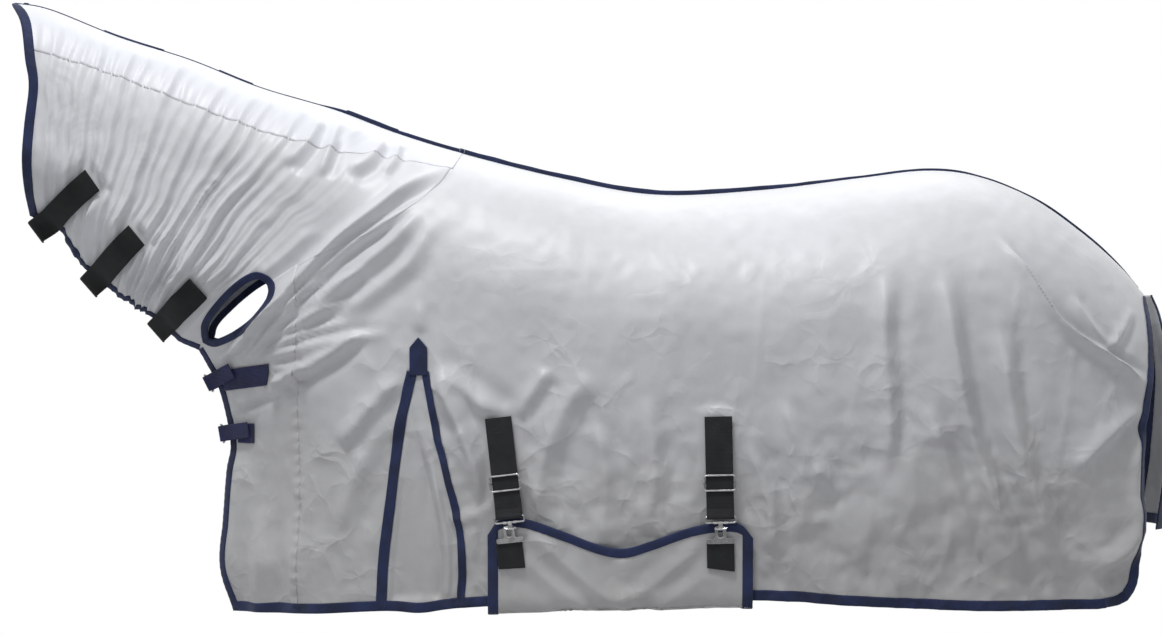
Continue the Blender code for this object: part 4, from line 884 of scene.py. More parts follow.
def frame_matrix(origin, across, up):
    """A frame with X across, Z up and Y into the body."""
    x, z = Vector(across).normalized(), Vector(up).normalized()
    y = z.cross(x)
    return Matrix.Translation(Vector(origin)) @ Matrix((x, y, z)).transposed().to_4x4()


# The camera comes first

def set_camera():
    data = bpy.data.cameras.new("camera")
    data.sensor_fit = "HORIZONTAL"
    data.sensor_width = 36
    data.lens = 94.66
    data.clip_end = 60
    camera = bpy.data.objects.new("camera", data)
    bpy.context.scene.collection.objects.link(camera)
    camera.location = (0.218, -5.5, -0.292)
    camera.rotation_euler = (math.pi / 2, 0, 0)
    bpy.context.scene.camera = camera


def area_light(name, place, aim, size, energy, colour=(1, 1, 1)):
    data = bpy.data.lights.new(name, "AREA")
    data.shape = "SQUARE"
    data.size = size
    data.energy = energy
    data.color = colour
    light = bpy.data.objects.new(name, data)
    bpy.context.scene.collection.objects.link(light)
    light.location = place
    light.rotation_euler = (Vector(aim) - Vector(place)).to_track_quat("-Z", "Y").to_euler()


def set_stage():
    """A pale floor at the horse's hooves, and a sky that is white above and greyer below."""
    bm = bmesh.new()
    bmesh.ops.create_circle(bm, cap_ends=True, radius=5.5, segments=96)
    bmesh.ops.translate(bm, verts=bm.verts, vec=(0.2, 0, -1.60))
    mesh = bpy.data.meshes.new("floor")
    bm.to_mesh(mesh)
    bm.free()
    floor = bpy.data.objects.new("floor", mesh)
    bpy.context.scene.collection.objects.link(floor)
    m = Nodes("floor", 0.9)
    m.colour(m.ramp(m.noise(2, 3), [(0.3, (0.50, 0.50, 0.51)), (0.7, (0.54, 0.54, 0.55))]))
    mesh.materials.append(m.material)
    world = bpy.data.worlds.new("sky")
    bpy.context.scene.world = world
    world.use_nodes = True
    tree = world.node_tree
    background = tree.nodes["Background"]
    place = tree.nodes.new("ShaderNodeTexCoord")
    split = tree.nodes.new("ShaderNodeSeparateXYZ")
    tree.links.new(place.outputs["Generated"], split.inputs["Vector"])

    def shades(axis, stops):
        """Greys along one axis of the direction, each at its place from -1 to 1."""
        shift = tree.nodes.new("ShaderNodeMapRange")
        shift.inputs["From Min"].default_value = -1
        ramp = tree.nodes.new("ShaderNodeValToRGB")
        for element, (at, grey) in zip(ramp.color_ramp.elements, stops):
            element.position, element.color = (at + 1) / 2, (grey, grey, grey, 1)
        tree.links.new(split.outputs[axis], shift.inputs["Value"])
        tree.links.new(shift.outputs["Result"], ramp.inputs["Fac"])
        return ramp.outputs["Color"]

    front = shades("Z", ((-0.10, 0.13), (0.90, 0.60)))
    behind = shades("Z", ((-0.45, 0.35), (-0.15, 1.0)))
    mix = tree.nodes.new("ShaderNodeMix")
    mix.data_type = "RGBA"
    tree.links.new(shades("Y", ((-0.25, 0.0), (0.8, 1.0))), mix.inputs["Factor"])
    tree.links.new(front, mix.inputs["A"])
    tree.links.new(behind, mix.inputs["B"])
    tree.links.new(mix.outputs["Result"], background.inputs["Color"])
    background.inputs["Strength"].default_value = 1.0
    area_light("key", (-0.5, -1.8, 3.0), (0.25, 0, -0.3), 0.7, 70)
    area_light("front_fill", (-2.2, -4.6, 0.6), (0.25, 0, -0.4), 2.5, 8)
    area_light("back_key", (1.2, 2.8, 3.4), (0.3, 0, -0.3), 2.5, 32, (0.97, 0.98, 1.0))
    bpy.context.scene.view_settings.view_transform = "Standard"


set_camera()
set_stage()


# Cloth panels

SIDES = {"l": -1, "r": 1}
REAR_AND_HEM = np.vstack([smooth(REAR_EDGE)[::-1], smooth(REAR_CORNER)[::-1][1:],
                          smooth(HEM)[::-1][1:]])
CHEST_UP, THROAT_UP, POLL_UP = (smooth(line)[::-1] for line in (CHEST_EDGE, THROAT_EDGE, POLL_EDGE))
BODY_CELLS = 1.25  # the body panel is so large that its cells are this much wider
UNDER_TAPE = 0.003  # the cloth ends this far inside its folded tape
LAP = 0.004  # one cloth laps the next by this much at a seam
TOP_IN = inset(TOP, 0.0025, -1)
REAR_HEM_IN = inset(REAR_AND_HEM, UNDER_TAPE, -1)
CHEST_IN, THROAT_IN, POLL_IN = (inset(line, UNDER_TAPE, -1)
                                for line in (CHEST_UP, THROAT_UP, POLL_UP))
HOLE = smooth(KEYHOLE + KEYHOLE[:1])[:-1]


def lapped(points, turn):
    return inset(smooth(points), LAP, turn)


def gusset_lines(share):
    """The two legs' centre lines, moved towards the body cloth by a share of the tape's width."""
    turn = 1 if share > 0 else -1
    fore = inset(smooth(GUSSET_FORE), abs(share) * GUSSET_TAPE, -turn)
    hind = inset(smooth(GUSSET_HIND), abs(share) * GUSSET_TAPE, turn)
    return fore, hind


def notch_outline():
    fore, hind = gusset_lines(0.15)
    below = np.array([0, -0.05])
    return np.vstack([fore, fore[-1] + below, hind[-1] + below, hind[::-1]])


CORNER_AT = int(np.argmin(np.linalg.norm(REAR_HEM_IN - np.array(rump(0.955, 0.025)), axis=1)))
OUTLINES = {
    "crest_panel": quad_outline(
        TOP_IN, past(lapped(NECK_SEAM, 1), 0.02), past(lapped(CREST_SEAM, -1), 0.03, 0.03)[::-1],
        past(POLL_IN, 0.0, 0.02)),
    "neck_panel": quad_outline(
        past(smooth(CREST_SEAM), 0.03, 0.03),
        np.vstack([smooth(NECK_SEAM), past(smooth(NECK_FOOT), 0, 0.02)[1:]]),
        past(THROAT_IN, 0.03, 0.03), past(POLL_IN, 0.03)),
    "chest_panel": quad_outline(
        past(lapped(NECK_FOOT, -1)[::-1], 0.03, 0.02), past(smooth(CHEST_SEAM), 0.03, 0.03),
        REAR_HEM_IN, past(CHEST_IN, 0.03, 0.03)),
    "body_panel": quad_outline(
        TOP_IN, REAR_HEM_IN[:CORNER_AT + 1], REAR_HEM_IN[CORNER_AT:],
        past(np.vstack([lapped(NECK_SEAM, -1), lapped(CHEST_SEAM, -1)[1:]])[::-1], 0.03, 0.02)),
}
PANELS = {  # length, height, exponent of the rows' spacing, base lift, finish, slot
    "crest_panel": (0.83, 0.12, 1.6, 0.0003, CREST_LIT_FINISH, "crest_cloth"),
    "neck_panel": (0.72, 0.44, 1.0, 0.0, CLOTH_FINISH, "cloth"),
    "chest_panel": (0.20, 0.52, 1.0, 0.0002, CLOTH_FINISH, "cloth"),
    "body_panel": (1.40, 0.95, 1.5, -0.0003, CLOTH_FINISH, "cloth"),
}


def make_panel(kind, tag):
    length, height, power, lift, finish, slot = PANELS[kind]
    cell = CELL * (BODY_CELLS if kind == "body_panel" else 1)
    columns, rows = round(length / cell), round(height / cell)
    u, v = np.meshgrid(np.linspace(0, 1, columns + 1), np.linspace(0, 1, rows + 1) ** power)
    xz = coons(OUTLINES[kind])(u.ravel(), v.ravel())
    points = on_body(xz, SIDES[tag], lift).reshape(rows + 1, columns + 1, 3)
    if SIDES[tag] > 0:
        points = points[:, ::-1]
        xz = xz.reshape(rows + 1, columns + 1, 2)[:, ::-1].reshape(-1, 2)
    grid = xz.reshape(rows + 1, columns + 1, 2)
    middle = (grid[:-1, :-1] + grid[1:, 1:]) / 2
    x, z = middle[..., 0], middle[..., 1]
    keep = ~inside_ring(x, z, offset_ring(HOLE, KEYHOLE_TAPE * 0.5))
    keep &= ~inside_ring(x, z, notch_outline())
    name = f"{kind}_{tag}_cloth"
    mesh = grid_mesh(name, points, keep)
    return add_piece(name, mesh, "sheet", [f"{kind}_{tag}"], finish, slot, CLOTH)


# Places where straps and patches press the folds flat
NECK_STRAPS = {  # root at the throat edge, length, and turn from square to the throat in degrees
    1: (throat(0.8306, -0.128), 0.1344, -15.1),
    2: (throat(0.5513, -0.226), 0.1233, -10.6),
    3: (throat(0.1917, -0.307), 0.1063, -10.4),
}
NECK_STRAP_NOSE = 0.019
THROAT_RUN = np.array(CHEST_TOP) - np.array(THROAT_EDGE[0])
SQUARE = math.atan2(THROAT_RUN[0], -THROAT_RUN[1])
QUIET.append(((-0.0625, -0.357), 0.034, 0.016, (0, 1)))
QUIET.extend([((0.2845, -0.750), 0.222, 0.045, (1, 0)), ((0.125, -0.720), 0.070, 0.078, (1, 0)),
              ((0.445, -0.720), 0.070, 0.078, (1, 0))])
for root, length, turn in NECK_STRAPS.values():
    heading = SQUARE + math.radians(turn)
    run = (math.cos(heading), math.sin(heading))
    centre = (root[0] + run[0] * length / 2, root[1] + run[1] * length / 2)
    QUIET.append((centre, length / 2, NECK_STRAP_WIDTH / 2, run))
for tag in ("front", "rear"):
    top = JOINTS[f"belly_strap_lift_{tag}"]["pos_m"]
    foot = JOINTS[f"t_hook_swing_{tag}"]["pos_m"]
    middle = ((top[0] + foot[0]) / 2, (top[2] + foot[2]) / 2)
    down_x, down_z = foot[0] - top[0], foot[2] - top[2]
    long = math.hypot(down_x, down_z)
    QUIET.append((middle, long / 2, STRAP_WIDTH / 2, (down_x / long, down_z / long)))
for tag in ("upper", "lower"):
    low_corner, high_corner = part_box(f"chest_patch_{tag}")
    centre = ((low_corner[0] + high_corner[0]) / 2, (low_corner[2] + high_corner[2]) / 2)
    QUIET.append((centre, (high_corner[0] - low_corner[0]) / 2,
                  (high_corner[2] - low_corner[2]) / 2, (1, 0)))

SHEETS = {}
for tag in SIDES:
    for kind in PANELS:
        SHEETS[f"{kind}_{tag}"] = make_panel(kind, tag)


# Slabs: flat pieces with round edges

RIB, RIB_SWELL = 0.0022, 0.13  # a webbing's ribs: their pitch and how far they swell its thickness
EDGES = np.array([0, 0.006, 0.02, 0.06, 0.18, 0.34, 0.5, 0.66, 0.82, 0.94, 0.98, 0.994, 1])
PROFILE = np.array([0.12, 0.55, 0.86, 1, 1, 1, 1, 1, 1, 1, 0.86, 0.55, 0.12])


def grid_normals(points):
    ahead, beside = np.gradient(points, axis=0), np.gradient(points, axis=1)
    normals = np.cross(ahead, beside)
    return normals / (np.linalg.norm(normals, axis=-1, keepdims=True) + 1e-12)


def facing(points, normals, away_from=(0, 0, -0.3)):
    """Normals turned to point away from the middle of the object."""
    middle = points.mean(axis=(0, 1)) - np.array(away_from)
    middle[0] = 0 if abs(middle[1]) > 0.05 else middle[0]
    return normals * np.sign((normals.mean(axis=(0, 1)) * middle).sum())


def slab_mesh(name, points, normals, thick, swell):
    """A closed mesh from its middle surface, thinner towards its long edges."""
    half = normals * (thick / 2 * PROFILE[None, :, None] * swell)
    mesh = grid_mesh(name, np.hstack([points + half, (points - half)[:, ::-1]]), ring=True)
    cap_ends(mesh, 2 * len(EDGES))
    return mesh


def slab(name, points, thick, body, nodes, finish, slot, rib=0.0, out=None):
    """A flat piece from a grid of its middle surface, EDGES across; gives its top face too."""
    normals = grid_normals(points)
    normals = normals * out if out else facing(points, normals)
    centre = points[:, len(EDGES) // 2]
    stations = lengths(centre)[:, None, None]
    swell = 1 + (RIB_SWELL * np.sin(stations / rib * 2 * math.pi) if rib else 0)
    add_piece(name, slab_mesh(name, points, normals, thick, swell), body, nodes, finish, slot)
    return points + normals * thick / 2, normals


def face_line(face, normals, across):
    """A line along a slab's top face at a share of its width, with its normals."""
    return tuple(np.stack([[np.interp(across, EDGES, row[:, k]) for k in range(3)] for row in grid])
                 for grid in (face, normals))


def box_legs(corners, crossed):
    """The sides of a box, and its two diagonals where it is crossed."""
    legs = list(zip(corners, corners[1:] + corners[:1]))
    return legs + [(corners[0], corners[2]), (corners[1], corners[3])] * crossed


def box_rows(face, normals, margin, start=0.0, end=1.0, crossed=False):
    """Rows of stitches round a rectangle of a slab's top face, and corner to corner."""
    def spot(along, across):
        rows = np.linspace(0, 1, len(face))
        return [[np.interp(along, rows, line[:, k]) for k in range(3)]
                for line in face_line(face, normals, across)]
    rows = []
    corners = [(start, margin), (start, 1 - margin), (end, 1 - margin), (end, margin)]
    for (a0, c0), (a1, c1) in box_legs(corners, crossed):
        path = [spot(a0 + (a1 - a0) * t, c0 + (c1 - c0) * t) for t in np.linspace(0, 1, 9)]
        rows.append(stitch_row(np.array([p[0] for p in path]), np.array([p[1] for p in path])))
    return rows


def path_slab(name, matrix, path, width, thick, body, nodes, finish, slot, rib=RIB):
    """A webbing along a path in a frame's YZ plane, as wide as it is along the frame's X."""
    line = np.array(path, float)
    line = evenly(line, rib / 4)
    run = unit(np.gradient(line, axis=0))
    normal = np.stack([np.zeros(len(line)), -run[:, 1], run[:, 0]], axis=-1)
    turn = np.array(matrix.to_3x3())
    move = np.array(matrix.translation)
    x = (EDGES - 0.5) * width
    local = np.stack(np.broadcast_arrays(x, line[:, :1], line[:, 1:]), axis=-1)
    points = local @ turn.T + move
    normals = np.broadcast_to((normal @ turn.T)[:, None], points.shape)
    stations = lengths(line)[:, None, None]
    swell = 1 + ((RIB_SWELL * np.sin(stations / rib * 2 * math.pi)))
    add_piece(name, slab_mesh(name, points, normals, thick, swell), body, nodes, finish, slot)


# Bindings

def edge_binding(kind, line, tag, start=0.0, end=0.0, body="sheet"):
    base = body_base(evenly(cut_line(line, start, end), 0.0035), SIDES[tag])
    stations = lengths(evenly(cut_line(line, start, end), 0.0035))
    name = f"{kind}_{tag}"
    seam = folded_tape(f"{name}_tape", base, BINDING, stations, body, [name])
    stitches(f"{name}_stitches", [stitch_row(*seam)], body, NAVY_THREAD, "navy_tape")


def keyhole_binding(tag):
    ring = evenly(np.vstack([HOLE, HOLE[:1]]), 0.003)

    def base(distance):
        wide = offset_ring(ring[:-1], distance) if distance else ring[:-1]
        wide = np.vstack([wide, wide[:1]])
        low_point, high_point = (on_body(wide, SIDES[tag], step) for step in (0.0004, 0.0014))
        return low_point, (high_point - low_point) / 0.001

    name = f"keyhole_binding_{tag}"
    seam = folded_tape(f"{name}_tape", base, KEYHOLE_TAPE, lengths(ring), "sheet", [name])
    stitches(f"{name}_stitches", [stitch_row(*seam)], "sheet", NAVY_THREAD, "navy_tape")


def spine_piece(name, line, height, thick, finish, node):
    """A tape folded over the standing seam of the two sides along the top."""
    line = evenly(line, 0.003)
    rise = height(line[:, 0]) * (1 + 0.10 * noise(line[:, 0], line[:, 0] * 0, 0.03, 3.0))
    lean = 0.0012 * noise(line[:, 0], line[:, 0] * 0, 0.05, 9.0)
    rows = []
    half = [(-0.0042, -0.004), (-0.0022, -0.0012), (-thick, 0.12), (-thick, 0.5), (-thick, 0.85),
            (-thick * 0.7, 0.97)]
    for y, up in half + [(0, 1.0)] + [(-y, up) for y, up in reversed(half)]:
        z = line[:, 1] + (up if up < 0 else up * rise)
        rows.append(np.stack([line[:, 0], y + lean * max(up, 0), z], axis=-1))
    mesh = grid_mesh(name, np.stack(rows)[::-1])
    add_piece(name, mesh, "sheet", [node], finish, "navy_tape", 0.0006)
    side = np.stack([line[:, 0], -thick - 0.0003 + lean * 0.2, line[:, 1] + 0.22 * rise], axis=-1)
    if rise.min() > 0.001:
        out = np.broadcast_to((0.0, -1.0, 0.0), side.shape)
        stitches(f"{name}_stitches", [stitch_row(side, out, 0.0034, 0.0023)], "sheet", NAVY_THREAD,
                 "navy_tape", 0.0005)


def make_spine():
    withers = int(np.argmin(np.abs(TOP[:, 0])))

    def crest_height(x):
        steps = noise(x, x * 0, 0.055, 4.0) > 0.15
        return 0.0022 + 0.0020 * steps + 0.0050 * ease(x, -0.26, -0.19)

    def back_height(x):
        return 0.0085 - 0.0045 * ease(x, 0.45, 0.75) + 0.0028 * ease(x, 1.00, 1.08) \
            - 0.0030 * ease(x, 1.15, 1.22)

    spine_piece("crest_tape", cut_line(TOP[:withers + 1], 0.004, 0.0), crest_height, 0.0012, NAVY,
                "crest_binding")
    spine_piece("spine_tape", cut_line(TOP[withers:], 0.0, 0.006), back_height, 0.0016, NAVY,
                "spine_binding")
    bars = []
    for x in (0.0, 0.008):
        z = float(np.interp(x, TOP[:, 0], TOP[:, 1])) + 0.004
        path = np.array([(x - 0.001, -0.0024, z - 0.004), (x + 0.001, -0.0024, z + 0.004)])
        out = np.broadcast_to((0.0, -1.0, 0.0), path.shape)
        bars.append(stitch_row(path, out, 0.0016, 0.0040))
    stitches("spine_bartacks", bars, "sheet", PALE_THREAD, "navy_tape", 0.0008)


for tag in SIDES:
    edge_binding("hem_binding", REAR_AND_HEM, tag, start=0.008)
    edge_binding("front_binding", CHEST_UP, tag)
    edge_binding("throat_binding", THROAT_UP, tag)
    edge_binding("poll_binding", POLL_UP, tag, end=0.004)
    keyhole_binding(tag)
make_spine()


# Gussets

def flat_tape(name, a, b, side, lift, body, node, finish=NAVY, slot="navy_tape", thick=0.0012):
    """A flat tape between two lines of the side view."""
    lines = [a + (b - a) * share for share in EDGES]
    points = np.stack([on_body(line, side, lift) for line in lines], axis=1)
    return slab(name, points, thick, body, [node] if node else (), finish, slot, out=None)


def make_gusset(tag):
    side = SIDES[tag]
    hem = dense(inset(REAR_AND_HEM, 0.002, -1))

    def leg(line, turn, shift):
        moved = smooth(line)
        if shift:
            moved = inset(moved, abs(shift), turn if shift > 0 else -turn)
        return evenly(trimmed(dense(past(moved, 0, 0.04)), hem)[0], 0.004)

    rows = []
    for name, line, turn, wide in (("fore", GUSSET_FORE, -1, 0.0095),
                                   ("hind", GUSSET_HIND, 1, 0.0068)):
        a, b = leg(line, turn, wide), leg(line, turn, -wide)
        b = spread(b, np.linspace(0, 1, len(a)))
        node = f"gusset_tape_{name}_{tag}"
        face, normals = flat_tape(f"{node}_fine", a, b, side, 0.0016, "sheet", node)
        for across in (0.14, 0.86):
            rows.append(stitch_row(*face_line(face, normals, across)))
    fore, hind = leg(GUSSET_FORE, -1, 0), leg(GUSSET_HIND, 1, 0)
    count = max(4, round(0.25 / CELL))
    down = np.linspace(0, 1, round(0.46 / CELL))
    left, right = spread(fore, down), spread(hind, down)
    shares = np.linspace(0, 1, count)
    xz = left[:, None] + (right - left)[:, None] * shares[None, :, None]
    width = np.linalg.norm(right - left, axis=1)[:, None]
    from_right = (1 - shares)[None] * width
    x, z = xz[..., 0], xz[..., 1]
    open_ = ease(down, 0.12, 0.5)[:, None]
    pleat = open_ * (0.0060 * np.exp(-((from_right - 0.024) / 0.0065) ** 2)
                     - 0.0075 * ease(from_right, 0.030, 0.040) * ease(shares[None], 0.0, 0.15))
    soft = open_ * 0.0045 * noise(x * 1.4, z * 0.25, 0.028, 8.0) * ease(shares[None], 0, 0.25)
    points = on_body(xz.reshape(-1, 2), side, (pleat + soft - 0.0006).ravel(), folded=False)
    points = points.reshape(*xz.shape[:2], 3)
    edge = on_body(xz.reshape(-1, 2), side, -0.0004).reshape(points.shape)
    hold = np.clip((np.minimum(shares, 1 - shares)[None] * width - 0.009) / 0.010, 0, 1)[..., None]
    hold = hold * ease(down, 0.985, 0.93)[:, None, None]
    points = edge * (1 - hold) + points * hold
    if side > 0:
        points = points[:, ::-1]
    name = f"gusset_{tag}_cloth"
    mesh = grid_mesh(name, points)
    SHEETS[f"gusset_{tag}"] = add_piece(name, mesh, "sheet", [f"gusset_{tag}"], CLOTH_FINISH,
                                        "cloth", CLOTH)
    rows += gusset_cap(tag)
    stitches(f"gusset_stitches_{tag}", rows, "sheet", NAVY_THREAD, "navy_tape")


def gusset_cap(tag):
    """The pointed patch over the top of the two legs."""
    (fore_x, top_z), (hind_x, _) = GUSSET_FORE[0], GUSSET_HIND[0]
    middle, low_z, rise = (fore_x + hind_x) / 2, top_z - 0.006, 0.065
    down = np.concatenate([np.linspace(0, 0.28, 14), np.linspace(0.30, 1, 22)])
    half = 0.0155 * np.minimum(1, 0.06 + down / 0.28)
    z = low_z + rise * (1 - down)
    columns = [np.stack([middle + (share - 0.5) * 2 * half, z], axis=-1) for share in EDGES]
    points = np.stack([on_body(xz, SIDES[tag], 0.0032, folded=False) for xz in columns], axis=1)
    face, normals = slab(f"gusset_cap_{tag}_fine", points, 0.0013, "sheet",
                               [f"gusset_cap_{tag}"], NAVY, "navy_tape")
    return [stitch_row(*(line[6:-2] for line in face_line(face, normals, across)))
            for across in (0.10, 0.90)]


for tag in SIDES:
    make_gusset(tag)


# Belly band

BAND_FRONT, BAND_REAR, BAND_LIFT = 0.057, 0.512, 0.009
BAND_TURN, BAND_CLEAR, BAND_SAG = 0.022, 0.014, 0.008
HINGE = JOINTS["belly_band_drop"]["pos_m"]
HEM_LINE = smooth(HEM)
BAND_TOP_LINE = smooth([
    low(0.057, 0.128), low(0.079, 0.155), low(0.122, 0.157), low(0.182, 0.138), low(0.251, 0.113),
    low(0.293, 0.108), low(0.336, 0.120), low(0.404, 0.144), low(0.455, 0.153), low(0.490, 0.150),
    low(0.512, 0.126)])


def band_lines(x):
    """The section of the band at each x, from its sewn edge to its top edge, evenly spaced."""
    sections = []
    for at in x:
        top_z = np.interp(at, BAND_TOP_LINE[:, 0], BAND_TOP_LINE[:, 1])
        hem_z = float(np.interp(at, HEM_LINE[:, 0], HEM_LINE[:, 1]))
        under = hem_z - BAND_CLEAR
        left = float(half_width(at, hem_z)) + BAND_LIFT
        path = [(HINGE[1], HINGE[2]), (left * 0.3, under - BAND_SAG),
                (-left * 0.3, under - BAND_SAG), (-left + BAND_TURN, under),
                (-left + BAND_TURN / 3, under + BAND_TURN / 4)]
        path += [(-float(half_width(at, z)) - BAND_LIFT, z)
                 for z in np.linspace(under + BAND_TURN, top_z, 6)]
        sections.append(smooth(path, 12))
    return sections


def band_folds(x, from_top):
    """Soft folds that run from the hooks down to the middle of the band."""
    lift = np.zeros_like(x)
    for line, width, height in (
            ([(0.120, 0.020), (0.190, 0.055), (0.255, 0.085), (0.320, 0.100)], 0.015, 0.0055),
            ([(0.100, 0.060), (0.170, 0.100), (0.250, 0.125)], 0.016, 0.0045),
            ([(0.440, 0.030), (0.380, 0.060), (0.320, 0.085), (0.270, 0.095)], 0.016, 0.0055),
            ([(0.470, 0.070), (0.400, 0.105), (0.330, 0.125)], 0.018, 0.0045),
            ([(0.285, 0.012), (0.292, 0.050), (0.287, 0.110)], 0.014, 0.0040)):
        lift += one_fold(x, from_top, smooth(line, 5), width, height)
    lift += 0.0022 * noise(x, from_top, 0.06, 5.0) + 0.0006 * noise(x, from_top, 0.02, 2.0)
    near = ease(from_top, 0.24, 0.12) * ease(from_top, 0.0, 0.03)
    edge = ease(np.minimum(x - BAND_FRONT, BAND_REAR - x), 0.0, 0.03)
    tabs = 1 - 0.8 * np.maximum(ease(np.abs(x - 0.096), 0.045, 0.020),
                                ease(np.abs(x - 0.458), 0.045, 0.020)) * ease(from_top, 0.11, 0.08)
    return lift * (0.25 + 0.75 * near) * edge * tabs


def band_points(x, from_top):
    """Band points at distances below its top edge, and their normals."""
    points, normals = np.zeros((*from_top.shape, 3)), np.zeros((*from_top.shape, 3))
    for k, line in enumerate(band_lines(x)):
        along = lengths(line)
        at = along[-1] - np.minimum(from_top[k], along[-1])
        run = np.gradient(line, along, axis=0)
        y, z, ty, tz = (np.interp(at, along, values) for values in (*line.T, *run.T))
        size = np.hypot(ty, tz)
        points[k] = np.stack([np.full(len(at), x[k]), y, z], axis=-1)
        normals[k] = np.stack([0 * y, -tz / size, ty / size], axis=-1)
    wide = np.broadcast_to(x[:, None], from_top.shape)
    return points + normals * band_folds(wide, from_top)[..., None], normals


def make_band():
    x = np.linspace(BAND_FRONT + 0.003, BAND_REAR - 0.003, round(0.45 / CELL))
    longest = np.array([lengths(line)[-1] for line in band_lines(x)])
    shares = np.linspace(0, 1, round(0.75 / CELL)) ** 1.15
    points, normals = band_points(x, 0.003 + (longest[:, None] - 0.003) * shares[None])
    mesh = grid_mesh("belly_band_cloth", points)
    SHEETS["belly_band"] = add_piece("belly_band_cloth", mesh, "belly_band", ["belly_band"],
                                     CLOTH_FINISH, "cloth", CLOTH)
    rows = []
    for name, edge_x, sign in (("front", BAND_FRONT, 1), ("rear", BAND_REAR, -1)):
        longest_here = lengths(band_lines([edge_x])[0])[-1]
        down = np.arange(0, longest_here - 0.004, 0.0035)

        def base(distance, edge_x=edge_x, sign=sign, down=down):
            at = np.full(1, edge_x + sign * distance)
            line, normal = band_points(at, down[None])
            return line[0], normal[0]

        seam = folded_tape(f"belly_band_{name}_tape", base, BINDING, down, "belly_band",
                                 [f"belly_band_{name}_binding"])
        rows.append(stitch_row(*seam))
    along = np.arange(BAND_FRONT, BAND_REAR, 0.0035)

    def top_base(distance):
        line, normal = band_points(along, np.full((len(along), 1), distance))
        return line[:, 0], normal[:, 0]

    seam = folded_tape("belly_band_top_tape", top_base, BINDING * 0.9, along, "belly_band",
                             ["belly_band_top_binding"], lift=TAPE_LIFT * 1.25)
    rows.append(stitch_row(*seam))
    stitches("belly_band_stitches", rows, "belly_band", NAVY_THREAD, "navy_tape")


make_band()


# Belly straps, sliders, T-hooks, lock plates and tabs

STRAP_THICK, STRAP_LENGTH, FIT = 0.002, 0.171, 0.0007
SLIDER_AT, SLIDER_HEIGHT, SLIDER_CORNER = 0.113, 0.026, 0.004
HOOK_HEIGHT, HOOK_CORNER, HOOK_NECK, HOOK_STEM, HOOK_BAR = 0.010, 0.003, 0.011, 0.008, 0.021
FOLD_START, FOLD_LENGTH, FOLD_BACK = 0.014, 0.016, 0.0012
PLATE_LIFT = BAND_LIFT + 0.0062  # the band, the tab, the room over it and half the plate


def strap_matrix(tag):
    """The strap's frame at its sewn top, with Z up along it."""
    lift, hook = JOINTS[f"belly_strap_lift_{tag}"], JOINTS[f"t_hook_swing_{tag}"]
    up = Vector(lift["pos_m"]) - Vector(hook["pos_m"])
    return frame_matrix(lift["pos_m"], -Vector(lift["axis"]), up)


def in_frame(matrix, points):
    return [matrix @ Vector(p) for p in points]


def make_belly_strap(tag):
    frame_at = strap_matrix(tag)
    loop = WIRE / 2 + FIT + STRAP_THICK / 2
    turn = [(-loop * math.cos(a), -STRAP_LENGTH - loop * math.sin(a))
            for a in np.linspace(-0.6, math.pi + 0.3, 22)]
    back_layer, fold_z = STRAP_THICK + FOLD_BACK, FOLD_START - STRAP_LENGTH
    path = [(0, 0), (0, -STRAP_LENGTH / 3), (0, -STRAP_LENGTH * 2 / 3), (0, fold_z), *turn,
            (back_layer, fold_z), (back_layer, fold_z + FOLD_LENGTH)]
    body = f"belly_strap_{tag}"
    path_slab(f"{body}_webbing", frame_at, path, STRAP_WIDTH, STRAP_THICK, body,
                                      [body], BLACK_WEB, "black_webbing")
    front = np.array(frame_at.to_3x3() @ Vector((0, -1, 0)))

    def flat_rows(top, bottom, crossed):
        rows = []
        corners = [(-0.019, top), (0.019, top), (0.019, bottom), (-0.019, bottom)]
        for (x0, z0), (x1, z1) in box_legs(corners, crossed):
            ends = in_frame(frame_at, [(x0, -STRAP_THICK / 2, z0), (x1, -STRAP_THICK / 2, z1)])
            rows.append(stitch_row(np.array(ends), np.array([front, front])))
        return rows

    rows = flat_rows(-0.003, -0.026, True) + flat_rows(fold_z + 0.004, fold_z + 0.011, False)
    stitches(f"{body}_stitches", rows, body, BLACK_THREAD, "black_webbing")
    make_slider(tag)
    make_t_hook(tag)


def make_slider(tag):
    frame_at = strap_matrix(tag) @ Matrix.Translation((0, 0, -SLIDER_AT))
    inside = STRAP_WIDTH + 2 * FIT
    front = -(STRAP_THICK / 2 + FIT + WIRE / 2)
    ring = [p + Vector((0, front, 0))
            for p in rounded_loop(inside + WIRE, SLIDER_HEIGHT, SLIDER_CORNER)]
    body = f"belly_slider_{tag}"
    wire(f"{body}_ring", in_frame(frame_at, ring), WIRE, body, [body], closed=True)
    side = (inside + WIRE) / 2
    bar = smooth([(-side, front, 0), (-side + 0.0006, 0, 0), (-side + 0.003, -front * 0.9, 0),
                  (-side + 0.008, -front, 0), (0, -front, 0), (side - 0.008, -front, 0),
                  (side - 0.003, -front * 0.9, 0), (side - 0.0006, 0, 0), (side, front, 0)], 5)
    wire(f"{body}_bar", in_frame(frame_at, bar), WIRE * 0.9, body, ())
    for k, z in enumerate((-1, 1)):
        ear = [(-side - 0.0005, front, z * 0.002), (side + 0.0005, front, z * 0.002)]
        for n, (x, y, _) in enumerate(ear):
            knob = smooth([(x, y, -0.0035 * z), (x + 0.0006 * (1 if x > 0 else -1), y, 0),
                           (x, y, 0.0035 * z)], 4)
            wire(f"{body}_swage_{k}{n}", in_frame(frame_at, knob), WIRE * 1.15, body, ())


